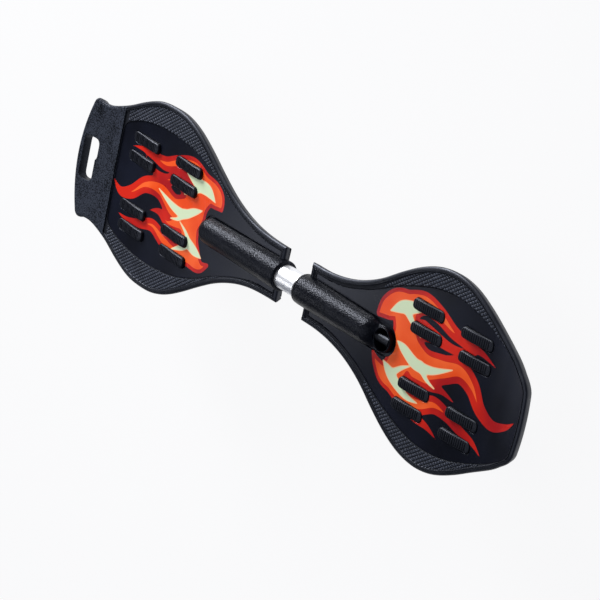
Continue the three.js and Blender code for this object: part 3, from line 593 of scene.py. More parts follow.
tube_metal = metal("drawn aluminium", "#f6f7fa", 0.42, 0.05, stretch=(0.02, 1, 1))
spacer_metal = metal("turned aluminium", "#d5d7da", 0.3, 0.05)
zinc_metal = metal("zinc plated steel", "#a9acb0", 0.34, 0.08, grain=3.0)
turned_steel = metal("ground steel", "#8f9297", 0.28, 0.06, grain=0.8)
spring_metal = metal("blackened spring steel", "#34363b", 0.42, 0.06, stretch=(0.05, 1, 1))
fork_coat = coated("black powder coat", "#191a1d", 0.42, 1.6, 0.05)
tyre_rubber = coated("cast polyurethane", "#17181b", 0.5, 2.2, 0.03)
sleeve_nylon = coated("turned nylon", "#24262b", 0.5, 1.0, 0.02)
print("materials", len(bpy.data.materials))

# %% [markdown]
# A deck is one moulding. Its cross-section is a shallow tray: a rolled rim, a narrow grip ledge a
# step lower, and a tray for the inlay. Under the plate a skirt and a lattice of thin walls keep it
# stiff with little plastic. The tube housing, the wedge for the caster and the screw boss belong to
# the same moulding, so they are joined to it and cut together with it.

# %% Places along a deck
REAR_END_WALL = 4.0  # plastic past the end of the tube in the rear housing
SCREW_NODES = {"rear": "rear_tube_screw", "front": "front_bar_screw"}
for name, node in SCREW_NODES.items():
    low, high = box_mm(node)
    decks[name]["screw_at"] = abs((low[0] + high[0]) / 2 - decks[name]["neck"])
decks["rear"]["dome_at"] = decks["rear"]["neck"] - tube_low[0] + REAR_END_WALL
decks["front"]["dome_at"] = decks["front"]["screw_at"]
WELL_TOP, WELL_FLOOR = AXIS + 7.0, AXIS - 8.0
WELL_RADIUS, WELL_OUTER, WELL_FORWARD = 13.2, 14.8, 0.8  # the well stands a little past its screw


def along(deck, distance):
    """The board's x at a distance in mm from the deck's neck."""
    return deck["neck"] + deck["out"] * distance


def down_the_deck(deck):
    """Turns z into the direction from the neck to the deck's end, on the tube's axis."""
    turn = Matrix.Rotation(deck["out"] * np.pi / 2, 4, "Y")
    return Matrix.Translation((deck["neck"], 0, AXIS)) @ turn


def upright(deck, distance):
    """Moves a piece drawn about z to a place along the deck."""
    return Matrix.Translation((along(deck, distance), 0, 0))


def arc(radius, centre, start, stop, steps=7):
    """Points on a circle round `centre`, between two angles in degrees."""
    angle = np.radians(np.linspace(start, stop, steps))
    return (np.column_stack([np.cos(angle), np.sin(angle)]) * radius + centre).tolist()


def rod(radius, bottom, top, matrix=Matrix.Identity(4), segments=48):
    """A plain cylinder between two heights."""
    return turned([(0, bottom), (radius, bottom), (radius, top), (0, top)], matrix, segments)


print({name: (round(float(d["dome_at"]), 1), round(float(d["screw_at"]), 1)) for name, d in decks.items()})

# %% [markdown]
# The caster stands on a wedge under each deck, which tilts its mounting face to the raked axis. The
# joint in the frame gives that axis, so a caster is drawn upright round its own z and then tilted
# into place by one matrix.

# %% Caster frames and wedges
PAD_LENGTH, PAD_WIDTH, PAD_DRAFT, PAD_ROUND = 60.0, 62.0, 5.0, 6.0
PAD_SUNK = 1.5  # mm that the wedge reaches up into the plate


def caster_frame(name):
    """The matrix that tilts and moves a caster into place, and its rake in radians."""
    joint = next(j for j in frame["joints"] if j["name"] == f"{name}_caster_swivel")
    rake = np.arctan2(joint["axis"][0], joint["axis"][2])
    return Matrix.Translation(Vector(joint["pos_m"]) / MM) @ Matrix.Rotation(rake, 4, "Y"), rake


def across(loop, width, edge=0.0, middle=0.0):
    """A loop drawn in x and z, carried across the board, with its two rims rounded by `edge`."""
    half = width / 2
    loop = counter_clockwise(np.asarray(loop, float))
    turns = np.linspace(0, np.pi / 2, 5) if edge else [0]
    side = [(edge * (1 - np.cos(a)), half - edge * (1 - np.sin(a))) for a in turns]
    thing = stacked(loop, [(d, -z) for d, z in side[::-1]] + side)
    thing.data.transform(Matrix.Translation((0, middle, 0)) @ Matrix.Rotation(np.pi / 2, 4, "X"))
    return thing


for name, deck in decks.items():
    deck["caster"], deck["rake"] = caster_frame(name)
    at = np.round(deck["caster"].translation, 1)
    print(name, "caster at", at, "mm, rake", round(np.degrees(deck["rake"])), "degrees")


def wedge(deck):
    """Its side view has the tilted pad below, then it is cut to a plan with round corners."""
    x, _, z = deck["caster"].translation
    reach_x, reach_z = PAD_LENGTH / 2 * np.cos(deck["rake"]), PAD_LENGTH / 2 * np.sin(deck["rake"])
    top = PLATE_UNDER + PAD_SUNK
    side = [(x - reach_x - PAD_DRAFT, top), (x - reach_x, z + reach_z), (x + reach_x, z - reach_z),
            (x + reach_x + PAD_DRAFT, top)]
    body = across(side, PAD_WIDTH)
    plan = rounded_loop(x, 0, 2 * reach_x + 2 * PAD_DRAFT, PAD_WIDTH, PAD_ROUND)
    return combine(body, [stacked(plan, [(0, 0), (0, RIM_TOP)])], "INTERSECT")


# %% [markdown]
# The rim is a rolled bead with a fine groove near its inner edge, which shows as two bright lines in
# the photograph. Each profile below is a list of insets from the outline and heights, so one loop
# gives the skirt, the bead, the groove, the ledge and the pockets underneath.

# %% The deck's shell
RIM_ROLL, RIM_ROLL_IN = 3.2, 4.6  # height and width of the bead's round
GROOVE_OUTSIDE, GROOVE_INSIDE, GROOVE_DEPTH = 3.6, 5.0, 0.9  # two insets and a depth
LATTICE_RIB, LATTICE_LENGTH, LATTICE_WIDTH = 3.0, 66.0, 54.0  # a wall, and its spacing both ways
HIGH = RIM_TOP + 60.0  # the top of everything that cuts


def beyond_ledge(deck):
    """A block that covers everything past the end of the grip ledge."""
    x = along(deck, deck["ledge_share"] * deck["length"])
    far = along(deck, 2 * deck["length"])
    return block((min(x, far), -deck["half"] * 2, 0), (max(x, far), deck["half"] * 2, HIGH))


def lattice_pockets(deck):
    """Everything inside the skirt and under the plate, less a lattice of thin walls."""
    pocket = stacked(deck["outline"], [(SKIRT_WALL, SKIRT_BOTTOM - 4), (SKIRT_WALL, PLATE_UNDER - 0.8),
                                       (SKIRT_WALL + 0.8, PLATE_UNDER)])
    half, low = LATTICE_RIB / 2, SKIRT_BOTTOM - 8
    reach = 2 * deck["length"]
    walls = []
    for distance in np.arange(LATTICE_LENGTH, deck["length"], LATTICE_LENGTH):
        x = along(deck, distance)
        walls.append(block((x - half, -deck["half"], low), (x + half, deck["half"], HIGH)))
    for y in np.arange(LATTICE_WIDTH / 2, deck["half"], LATTICE_WIDTH):
        for side in (-y, y):
            walls.append(block((-reach, side - half, low), (reach, side + half, HIGH)))
    return combine(pocket, walls)


def rim_groove(deck):
    """A ring between two insets of the outline, with leaning sides."""
    ring = stacked(deck["outline"], [(GROOVE_OUTSIDE + 0.4, RIM_TOP - GROOVE_DEPTH),
                                     (GROOVE_OUTSIDE, RIM_TOP), (GROOVE_OUTSIDE, HIGH)])
    core = stacked(deck["outline"], [(GROOVE_INSIDE - 0.2, RIM_TOP - 1), (GROOVE_INSIDE, RIM_TOP),
                                     (GROOVE_INSIDE, HIGH + 1)])
    return combine(ring, [core])


def shell(deck):
    """Skirt and bead in one stack, from which the groove, the ledge, the tray and the pockets are cut."""
    roll = [(RIM_ROLL_IN * (1 - d), RIM_TOP - RIM_ROLL * (1 - z)) for d, z in arc(1, (0, 0), 0, 90, 9)]
    upright_from = SKIRT_BOTTOM + SKIRT_DRAFT_HEIGHT
    skirt = [(SKIRT_DRAFT + 1.2, SKIRT_BOTTOM), (SKIRT_DRAFT + 0.3, SKIRT_BOTTOM + 0.3),
             (SKIRT_DRAFT - 0.3, SKIRT_BOTTOM + 1.0), (0.4, upright_from - 0.8), (0.05, upright_from + 0.5)]
    body = stacked(deck["outline"], [*skirt, *roll])
    groove = rim_groove(deck)
    ledge = stacked(deck["outline"], [(RIM_WIDTH + 0.5, LEDGE_TOP), (RIM_WIDTH, LEDGE_TOP + 0.5),
                                      (RIM_WIDTH, RIM_TOP - 0.7), (RIM_WIDTH - 0.2, RIM_TOP - 0.2),
                                      (RIM_WIDTH - 0.7, RIM_TOP), (RIM_WIDTH - 0.7, HIGH)])
    tray = stacked(deck["panel"], [(-GAP, TRAY_FLOOR), (-GAP, LEDGE_TOP - 0.5),
                                   (-GAP - 0.15, LEDGE_TOP - 0.15), (-GAP - 0.5, LEDGE_TOP),
                                   (-GAP - 0.5, HIGH)])
    if deck["ledge_share"] < 1:
        ledge = combine(ledge, [beyond_ledge(deck)])
        groove = combine(groove, [beyond_ledge(deck)])
    return combine(body, [groove, ledge, tray, lattice_pockets(deck)])


# %% [markdown]
# What stands out of the shell or passes through it is drawn one by one: the carrying slot with its
# wall, the tube housing, the holes for the caster, and the open well of the front deck. The housing
# is a barrel of elliptical sections, because a plain turned one could not fall away to the well.

# %% Slot, housing, holes and well
SLOT_WIDTH, SLOT_LENGTH, SLOT_ROUND, SLOT_STEP, SLOT_EDGE = 24.0, 57.0, 8.5, 3.0, 9.0
SLOT_BEVEL = 0.9
SCREW_RADIUS, SCREW_HEAD = 3.0, 6.0
PLATE_SCREW_RADIUS, PLATE_SCREW_REACH, PLATE_SCREW_AT = 2.8, 11.0, 22.0
PLATE_SCREW_PLACES = [(x, y) for x in (PLATE_SCREW_AT, -PLATE_SCREW_AT)
                      for y in (PLATE_SCREW_AT, -PLATE_SCREW_AT)]
KINGPIN_HEAD, KINGPIN_HEAD_HEIGHT = 8.5, 5.0
BAR_RADIUS, BAR_PAST_WELL = 6.0, 11.0
SLEEVE_WALL = 1.2
WELL_ROUND, MOUTH_BEVEL = 1.4, 0.6
MOUTH_ROUND, TAPER_FROM, DOME_RADIUS = 1.6, 8.0, 16.9  # the housing's mouth, taper and rear dome
# Front housing, in mm: distance from the neck, half width, height above the axis and depth below it
FRONT_CREST = [(8, 19, 19, 19), (60, 18.5, 18.5, 18.5), (112, 17.8, 17.8, 17.8), (123, 17.5, 17.5, 17.5),
               (128, 16.6, 15.6, 17), (132, 15.6, 12.2, 16.2), (135, 15, 8.6, 15.6),
               (138, 14.8, 6.6, 15.2), (148, 14.4, 4.6, 14.8), (155, 12, 3.6, 12.5), (159, 7, 2.2, 8),
               (161, 0, 0, 0)]


def slot_cutters(deck):
    """The carrying slot: a rounded window, and a second one over half its length, a step aside."""
    x = along(deck, deck["length"] - SLOT_EDGE - SLOT_WIDTH / 2)
    whole = rounded_loop(x, 0, SLOT_WIDTH, SLOT_LENGTH, SLOT_ROUND)
    stepped = rounded_loop(x + SLOT_STEP, SLOT_LENGTH / 4, SLOT_WIDTH, SLOT_LENGTH / 2, SLOT_ROUND)
    profile = [(0, 0), (0, RIM_TOP - SLOT_BEVEL), (-0.25, RIM_TOP - 0.25), (-SLOT_BEVEL, RIM_TOP),
               (-SLOT_BEVEL, HIGH)]
    wall = stacked(rounded_loop(x, 0, SLOT_WIDTH + 2 * SKIRT_WALL, SLOT_LENGTH + 2 * SKIRT_WALL,
                                SLOT_ROUND + SKIRT_WALL), [(0, SKIRT_BOTTOM), (0, RIM_TOP - 1)])
    inside = stacked(deck["outline"], [(RIM_ROLL, 0), (RIM_ROLL, HIGH)])
    return combine(wall, [inside], "INTERSECT"), [stacked(whole, profile), stacked(stepped, profile)]


def lofted(deck, rows, columns=96):
    """A barrel along the tube's axis from rows of distance, half width, height above and depth below:
    each section is an upper and a lower half ellipse, and the last row closes to a point."""
    distance, width, above, below = np.array(rows, float).T[:, :, None]
    angle = np.linspace(0, 2 * np.pi, columns, endpoint=False)
    across_board, up = np.cos(angle), np.sin(angle)
    z = AXIS + up * np.where(up > 0, above, below)
    x = np.broadcast_to(along(deck, distance), z.shape)
    points = np.stack([x, width * across_board, z], -1).reshape(-1, 3)
    return solid(points, [*ring_faces(len(rows), columns).tolist(), list(range(columns))])


def housing(deck):
    """A barrel that narrows from the neck inward, with a rounded nose, and the boss for its screw.
    The rear one ends in a dome; the front one falls away to the rim of the open well."""
    turn = np.linspace(np.pi / 2, 0, 6)
    mouth = -NOSE_OUT + MOUTH_ROUND * (1 - np.sin(turn))
    rows = [(d, r, r, r) for d, r in zip(mouth, HOUSING_RADIUS - MOUTH_ROUND * (1 - np.cos(turn)))]
    if deck["name"] == "rear":
        end, narrowing = deck["dome_at"], DOME_RADIUS - HOUSING_RADIUS
        for share in np.linspace(0, 1, 12)[1:]:
            radius = HOUSING_RADIUS + narrowing * share
            rows.append((TAPER_FROM + (end - TAPER_FROM) * share, radius, radius, radius))
        for a in np.linspace(0, np.pi / 2, 14)[1:]:
            radius = DOME_RADIUS * np.cos(a)
            rows.append((end + DOME_RADIUS * np.sin(a), radius, radius, radius))
    else:
        rows += smooth_path(FRONT_CREST, 60).tolist()
    barrel = lofted(deck, rows)
    boss = rod(SCREW_HEAD + 1.5, AXIS - HOUSING_RADIUS, PLATE_UNDER + 1, upright(deck, deck["screw_at"]))
    return [barrel, boss]


def screw_hole(deck, top):
    """The upright hole for the screw that holds the tube or the bar."""
    return rod(SCREW_RADIUS + GAP, 0, top, upright(deck, deck["screw_at"]), 32)


def caster_holes(deck):
    """A pocket for the kingpin's head and four screw holes, square to the wedge's tilted face."""
    holes = [rod(KINGPIN_HEAD + GAP, -4, KINGPIN_HEAD_HEIGHT + 2 * GAP, deck["caster"])]
    for x, y in PLATE_SCREW_PLACES[::-1]:
        at = deck["caster"] @ Matrix.Translation((x, y, 0))
        holes.append(rod(PLATE_SCREW_RADIUS + GAP, -4, PLATE_SCREW_REACH + GAP, at, 24))
    return holes


def open_well(deck):
    """The well's ring, which is added, and its hollow, which is cut: both turned about an upright axis."""
    at = upright(deck, deck["dome_at"] + WELL_FORWARD)
    ring = [(0, SKIRT_BOTTOM), (WELL_OUTER, SKIRT_BOTTOM), (WELL_OUTER, WELL_TOP - WELL_ROUND),
            *arc(WELL_ROUND, (WELL_OUTER - WELL_ROUND, WELL_TOP - WELL_ROUND), 0, 90, 7), (0, WELL_TOP)]
    hollow = [(0, WELL_FLOOR), (WELL_RADIUS - 1, WELL_FLOOR), (WELL_RADIUS, WELL_FLOOR + 1),
              (WELL_RADIUS, WELL_TOP - 0.8), (WELL_RADIUS + 0.3, WELL_TOP - 0.25),
              (WELL_RADIUS + 0.9, WELL_TOP), (WELL_RADIUS + 0.9, HIGH), (0, HIGH)]
    return turned(ring, at, 96), turned(hollow, at, 96)


def tube_bore(deck, radius, end):
    """The hole that takes the tube, with a bevel at the housing's mouth."""
    profile = [(0, -NOSE_OUT - 4), (radius + MOUTH_BEVEL, -NOSE_OUT - 4), (radius + MOUTH_BEVEL, -NOSE_OUT),
               (radius, MOUTH_BEVEL - NOSE_OUT), (radius, end), (0, end)]
    return turned(profile, down_the_deck(deck), 96)


# %% [markdown]
# One moulding is then a sum and a difference. The pieces that touch are joined first, and the holes
# go through all of them afterwards, so that a hole never leaves a skin where two pieces meet.

# %% Join and cut the mouldings
def moulding(deck):
    """Shell, wedge, housing and well or slot wall in one, less their holes, with its end folded up."""
    adds = [wedge(deck), *housing(deck)]
    if deck["name"] == "front":
        ring, hollow = open_well(deck)
        bar = rod(BAR_RADIUS + GAP, 0, deck["dome_at"] + BAR_PAST_WELL + GAP, down_the_deck(deck))
        bore = tube_bore(deck, TUBE_RADIUS + SLEEVE_WALL + 2 * GAP, tube_high[0] - deck["neck"] + GAP)
        adds.append(ring)
        openings = [hollow, bar]
    else:
        collar, openings = slot_cutters(deck)
        bore = tube_bore(deck, TUBE_RADIUS + GAP, deck["dome_at"] - REAR_END_WALL + GAP)
        adds.append(collar)
    body = combine(shell(deck), adds, "UNION")
    return fold_up(combine(body, [*caster_holes(deck), bore, screw_hole(deck, AXIS), *openings]), deck)


for deck in decks.values():
    deck["moulding"] = moulding(deck)
    print(deck["name"], "moulding", len(deck["moulding"].data.polygons), "faces")

# %% [markdown]
# The mould gives each region its own grain, so the faces of one moulding are sorted by where they
# lie: near the tube's axis is housing, the step inside the rim is ledge, and the folded end of the
# rear deck is the stippled tab.

# %% Grain by region
HOUSING, LEDGE, TAB = 1, 2, 3


def sort_faces(deck):
    """The region of each face: 0 is the rim and everything else, then housing, ledge and tab."""
    faces = deck["moulding"].data.polygons
    centre, normal = rows_of(faces, "center"), rows_of(faces, "normal")
    distance = (centre[:, 0] - deck["neck"]) * deck["out"]
    height = centre[:, 2] - lift(deck, centre[:, 0])
    from_axis = np.hypot(centre[:, 1], centre[:, 2] - AXIS)
    beyond_dome = np.maximum(distance - deck["dome_at"], 0)
    near_axis = np.hypot(from_axis, beyond_dome) < HOUSING_RADIUS + 0.1
    index = np.zeros(len(centre), int)
    index[near_axis & ((height > TRAY_FLOOR) | (height < PLATE_UNDER))] = HOUSING
    index[(abs(height - LEDGE_TOP) < 0.3) & (normal[:, 2] > 0.9)] = LEDGE
    tab_line = deck["ledge_share"] * deck["length"]
    index[(distance > tab_line) & (height > RIM_TOP - RIM_ROLL + 0.2) & (normal[:, 2] > 0.1)] = TAB
    return index


for name, deck in decks.items():
    index = sort_faces(deck)
    thing = hand_over(deck["moulding"], f"{name}_deck_moulding", f"{name}_deck",
                      rim_plastic, housing_plastic, ledge_groove_shade_plastic, tab_plastic)
    thing.data.polygons.foreach_set("material_index", index)
    report(thing)
    print("faces of rim, housing, ledge and tab:", np.bincount(index, minlength=4))

# %% [markdown]
# The inlay is a thin sheet with an odd border: along the rim, round the ribs and round the housing.
# A signed distance says for each point how far it is from the border, and it is negative inside. A
# grid is cut to the border by keeping the squares with a corner inside and sliding their outer
# corners along the slope of that distance, which lands them on the border.

# %% Distance fields and cut sheets
def polygon_depth(points, loop):
    """Distance to the nearest edge of a loop, negative inside it (an odd number of crossings)."""
    start, end = loop, np.roll(loop, -1, 0)
    edge = end - start
    parts = []
    for p in np.array_split(points, len(points) // 4000 + 1):
        from_start = p[:, None] - start
        t = np.clip((from_start * edge).sum(-1) / (edge**2).sum(-1), 0, 1)
        near = np.linalg.norm(from_start - t[..., None] * edge, axis=-1).min(1)
        rises = (start[:, 1] > p[:, 1:2]) != (end[:, 1] > p[:, 1:2])
        slope = edge[:, 0] / np.where(edge[:, 1] == 0, 1e-12, edge[:, 1])  # a level edge is never crossed
        right_of = start[:, 0] + (p[:, 1:2] - start[:, 1]) * slope > p[:, 0:1]
        parts.append(np.where((rises & right_of).sum(1) % 2 == 1, -near, near))
    return np.concatenate(parts)


def box_depth(points, middle, size, corner):
    """Distance to a rectangle with round corners, negative inside it."""
    beyond = abs(points - middle) - np.array(size) / 2 + corner
    return np.linalg.norm(np.maximum(beyond, 0), axis=1) + np.minimum(beyond.max(1), 0) - corner


def capsule_depth(points, start, end, radius):
    """Distance to the bar between two points, less its radius."""
    start, end = np.asarray(start, float), np.asarray(end, float)
    edge = end - start
    t = np.clip(((points - start) @ edge) / (edge @ edge), 0, 1)
    return np.linalg.norm(points - start - t[:, None] * edge, axis=1) - radius


def grid_squares(number):
    """The four corners of every square of a grid of numbered points."""
    corners = [number[:-1, :-1], number[1:, :-1], number[1:, 1:], number[:-1, 1:]]
    return np.stack(corners, -1).reshape(-1, 4)


NUDGE = 0.05  # mm to each side, for measuring the slope of a distance


def cut_sheet(depth, low, high, step):
    """Plan points and squares of a grid cut to depth < 0. Three times, each outer point p moves by
    -depth(p) * slope / |slope|^2, which brings it closer to the line where the depth is zero."""
    counts = np.ceil((np.array(high) - low) / step).astype(int) + 1
    x, y = (np.linspace(low[k], high[k], counts[k]) for k in (0, 1))
    grid = np.stack(np.meshgrid(x, y, indexing="ij"), -1).reshape(-1, 2)
    inside = depth(grid) < 0
    squares = grid_squares(np.arange(len(grid)).reshape(counts))
    squares = squares[inside[squares].any(1)]
    used, squares = np.unique(squares, return_inverse=True)
    points, squares = grid[used], squares.reshape(-1, 4)
    outer = ~inside[used]
    for _ in range(3):
        p = points[outer]
        slope = np.stack([depth(p + n) - depth(p - n) for n in np.eye(2) * NUDGE], -1) / (2 * NUDGE)
        points[outer] = p - depth(p)[:, None] * slope / np.maximum((slope**2).sum(1), 0.25)[:, None]
    return points, squares


def walled_sheet(points, squares, thickness):
    """An object of a sheet in mm, with a live wall on its under side, given in metres already."""
    mesh = bpy.data.meshes.new("sheet")
    mesh.from_pydata(points.tolist(), [], squares.tolist())
    thing = bpy.data.objects.new("sheet", mesh)
    bpy.context.scene.collection.objects.link(thing)
    wall = thing.modifiers.new("thickness", "SOLIDIFY")
    wall.thickness, wall.offset = thickness * MM, -1
    return thing


# %% [markdown]
# Hot rod flames are an old sign painter's pattern: long licks that start from one mass, curl, and
# run out to points, with round bays between them. Each lick here is a ribbon of discs strung along a
# smooth spine, with a radius that falls to nothing. The depth inside the union of all discs gives
# the red shape, and the same depth a few mm further in gives the orange one, so a red border of
# even width follows every edge and the thin tips are all red. The licks melt together where they
# meet, which rounds the bays between them. Pale hearts are shorter ribbons inside the licks.

# %% The flame pattern
# Each row is a place along the deck and one across it, and a radius, as shares of length and half width
FLAME_SHARES = {
    "rear": {
        "licks": [
            [(.312, .27, .03), (.34, .35, .12), (.385, .36, .16), (.425, .2, .19), (.44, 0, .18),
             (.43, -.2, .16), (.4, -.36, .13), (.36, -.42, .07), (.325, -.36, .02)],
            [(.43, .08, .2), (.52, 0, .15), (.6, .1, .115), (.675, .06, .09), (.735, -.1, .075),
             (.79, -.16, .045), (.835, -.06, 0)],
            [(.4, .36, .16), (.47, .5, .115), (.54, .47, .085), (.6, .39, .075), (.66, .395, .05),
             (.72, .4, .025), (.775, .37, 0)],
            [(.46, .25, .12), (.53, .3, .07), (.59, .23, .055), (.65, .25, .03), (.7, .34, 0)],
            [(.41, -.34, .14), (.48, -.44, .1), (.55, -.38, .085), (.61, -.31, .07), (.67, -.37, .05),
             (.73, -.41, .03), (.785, -.39, 0)],
            [(.48, -.1, .11), (.54, -.18, .06), (.59, -.13, .035), (.635, -.17, 0)],
        ],
        "hearts": [
            [[(.345, .3, 0), (.385, .37, .055), (.43, .38, .06), (.475, .42, .03), (.53, .5, 0)],
             [(.425, .36, .045), (.45, .27, .022), (.49, .2, 0)]],
            [[(.395, .14, 0), (.43, .08, .035), (.475, .0, .045), (.53, .01, .035), (.61, .1, 0)],
             [(.47, .01, .035), (.495, -.08, .016), (.53, -.12, 0)]],
            [[(.36, -.33, 0), (.395, -.3, .045), (.43, -.27, .05), (.455, -.34, .03), (.5, -.42, 0)],
             [(.42, -.27, .035), (.45, -.17, .016), (.485, -.1, 0)]],
        ],
    },
    "front": {
        "licks": [
            [(.325, .22, .04), (.36, .33, .13), (.41, .4, .17), (.45, .22, .19), (.455, 0, .19),
             (.44, -.2, .17), (.405, -.32, .12), (.36, -.26, .06), (.335, -.18, .02)],
            [(.46, .05, .22), (.55, -.02, .18), (.63, .05, .145), (.7, .13, .12), (.76, .06, .1),
             (.81, -.1, .075), (.87, -.17, .055), (.93, -.1, .03), (.965, 0, 0)],
            [(.43, .42, .16), (.5, .55, .115), (.57, .53, .09), (.64, .45, .07), (.7, .42, .05),
             (.77, .41, .03), (.84, .35, 0)],
            [(.52, .3, .1), (.58, .3, .065), (.64, .29, .045), (.7, .32, .025), (.745, .36, 0)],
            [(.43, -.3, .15), (.5, -.42, .11), (.57, -.4, .095), (.63, -.32, .085), (.69, -.34, .065),
             (.75, -.4, .05), (.81, -.44, .03), (.86, -.53, 0)],
            [(.49, -.42, .1), (.56, -.53, .055), (.62, -.56, .03), (.67, -.62, 0)],
            [(.52, -.12, .11), (.59, -.17, .05), (.65, -.15, .03), (.71, -.19, 0)],
        ],
        "hearts": [
            [[(.37, .3, 0), (.41, .39, .055), (.45, .44, .06), (.505, .5, .03), (.56, .52, 0)],
             [(.435, .4, .045), (.475, .3, .022), (.515, .22, 0)]],
            [[(.425, .06, 0), (.46, .02, .045), (.52, -.05, .055), (.59, -.02, .035), (.67, .1, 0)],
             [(.54, -.04, .04), (.575, -.13, .018), (.615, -.17, 0)]],
            [[(.385, -.2, 0), (.42, -.27, .05), (.46, -.34, .05), (.51, -.4, .028), (.56, -.4, 0)],
             [(.43, -.27, .035), (.465, -.17, .018), (.5, -.1, 0)]],
        ],
    },
}
RED_BORDER = 4.6  # mm of red left round the orange at the mass, growing to twice that at the tips
GROWS_FROM, GROWS_OVER = 0.45, 0.35  # shares of the deck's length over which that border grows
LICK_BLEND, HEART_BLEND = 6.0, 3.0  # mm over which two shapes melt together, which rounds the bays
SPINE_POINTS = 120


def ribbon_depth(points, deck, shares):
    """How deep a point lies in a string of discs on a smooth spine: the most of radius less distance."""
    shares = np.asarray(shares, float)
    rows = np.column_stack([place(deck, shares[:, :2]), shares[:, 2] * deck["half"]])
    spine = smooth_path(rows, SPINE_POINTS)
    parts = []
    for p in np.array_split(points, len(points) // 8000 + 1):
        distance = np.linalg.norm(p[:, None] - spine[:, :2], axis=-1)
        parts.append((np.maximum(spine[:, 2], 0) - distance).max(1))
    return np.concatenate(parts)


def melted(depths, blend):
    """Smooth union: where two depths are nearly equal, up to a quarter of the blend is added."""
    whole = depths[0]
    for depth in depths[1:]:
        share = np.maximum(blend - abs(whole - depth), 0) / blend
        whole = np.maximum(whole, depth) + share**2 * blend / 4
    return whole


def flame_fields(deck, points):
    """Red is the licks melted together, orange is red less its border, and the hearts are apart."""
    shares = FLAME_SHARES[deck["name"]]
    red = melted([ribbon_depth(points, deck, lick) for lick in shares["licks"]], LICK_BLEND)
    hearts = [melted([ribbon_depth(points, deck, part) for part in heart], HEART_BLEND)
              for heart in shares["hearts"]]
    share = (points[:, 0] - deck["neck"]) * deck["out"] / deck["length"]
    border = RED_BORDER * (1 + np.clip((share - GROWS_FROM) / GROWS_OVER, 0, 1))
    return {"red": red, "orange": red - border, "heart": np.max(hearts, axis=0)}


# %% [markdown]
# The inlay drops into its tray, so its border is the tray's edge, with openings for the housing and
# for the four ribs of its deck. The print rides on the sheet's points as three named attributes, and
# a live Solidify modifier gives the sheet its thickness.

# %% Inlays
RIB_WIDTH, RIB_CORNER, RIB_RISE = 14.0, 6.0, 4.6
PANEL_STEP = 1.3


def rib_places(deck):
    """The middles of a deck's ribs, on both sides of the housing."""
    places = place(deck, deck["rib_shares"])
    return np.vstack([places, places * [1, -1]])


def inlay_depth(deck):
    """A function that measures plan points from the sheet's border: tray, ribs and housing."""
    ribs = rib_places(deck)
    opening = (deck["rib_length"] + 2 * GAP, RIB_WIDTH + 2 * GAP)
    dome = (along(deck, deck["dome_at"]), 0)

    def depth(points):
        """The most of the depth in the tray's loop and the depths in the openings with their sign turned."""
        cuts = [box_depth(points, at, opening, RIB_CORNER) for at in ribs]
        cuts.append(capsule_depth(points, (along(deck, -60), 0), dome, HOUSING_RADIUS + GAP))
        return np.maximum(polygon_depth(points, deck["panel"]), -np.min(cuts, axis=0))

    return depth


def inlay(deck):
    """The cut sheet at the panel's height, with its print."""
    loop = deck["panel"]
    plan, squares = cut_sheet(inlay_depth(deck), loop.min(0) - 1, loop.max(0) + 1, PANEL_STEP)
    height = PANEL_TOP + lift(deck, plan[:, 0])
    thing = walled_sheet(np.column_stack([plan, height]), squares, PANEL_THICKNESS)
    for field, values in flame_fields(deck, plan).items():
        attribute = thing.data.attributes.new(field, "FLOAT", "POINT")
        attribute.data.foreach_set("value", values.astype(np.float32))
    return thing


for name, deck in decks.items():
    report(hand_over(inlay(deck), f"{name}_inlay", f"{name}_deck_panel", inlay_print))

# %% [markdown]
# The grip ledge is knurled: two families of slanting grooves cross and leave rows of small diamond
# studs. The height is a formula: the further a point is from the nearest groove, the higher it
# stands, up to the flat top of its stud. Their pitch is read from the photograph, where the studs
# only just show, so it may be a little coarser than the real one. The studs get a paler plastic
# than the deck, a painted highlight, and the groove floors a darker one, a painted shade.

# %% Grip ledges
STUD_LENGTH, STUD_WIDTH, STUD_HEIGHT = 7.0, 5.0, 0.9  # mm: a stud's pitch along and across, its height
KNURL_EDGE, KNURL_LEAST_WIDTH = 0.8, 0.6  # mm: plain ledge on both sides, and the narrowest knurl
KNURL_RAISED, KNURL_THICKNESS = 0.05, 0.8
GROOVE_SHARE, FLANK_SHARE = 0.12, 0.12  # of the pitch: half a groove's floor, and one flank
# Faces below this height lie on a groove's floor and get the darker plastic, a painted shade.
SHADED_PIT_HEIGHT = 0.1  # mm; a groove's floor, which stays darker than the studs
KNURL_RANGE_SHARES = {"rear": (.27, .812), "front": (.33, .9)}
KNURL_STEP = 0.5


def half_width(loop, x):
    """The loop's upper half as a width over x."""
    upper = loop[loop[:, 1] > 0]
    order = np.argsort(upper[:, 0])
    return np.interp(x, upper[order, 0], upper[order, 1])


def stud_height(x, y):
    """The height times clip((off - groove) / flank), where off is how far the nearest groove is."""
    a, b = x / STUD_LENGTH + y / STUD_WIDTH, x / STUD_LENGTH - y / STUD_WIDTH
    off = np.minimum(abs(a - np.round(a)), abs(b - np.round(b)))
    return STUD_HEIGHT * np.clip((off - GROOVE_SHARE) / FLANK_SHARE, 0, 1)


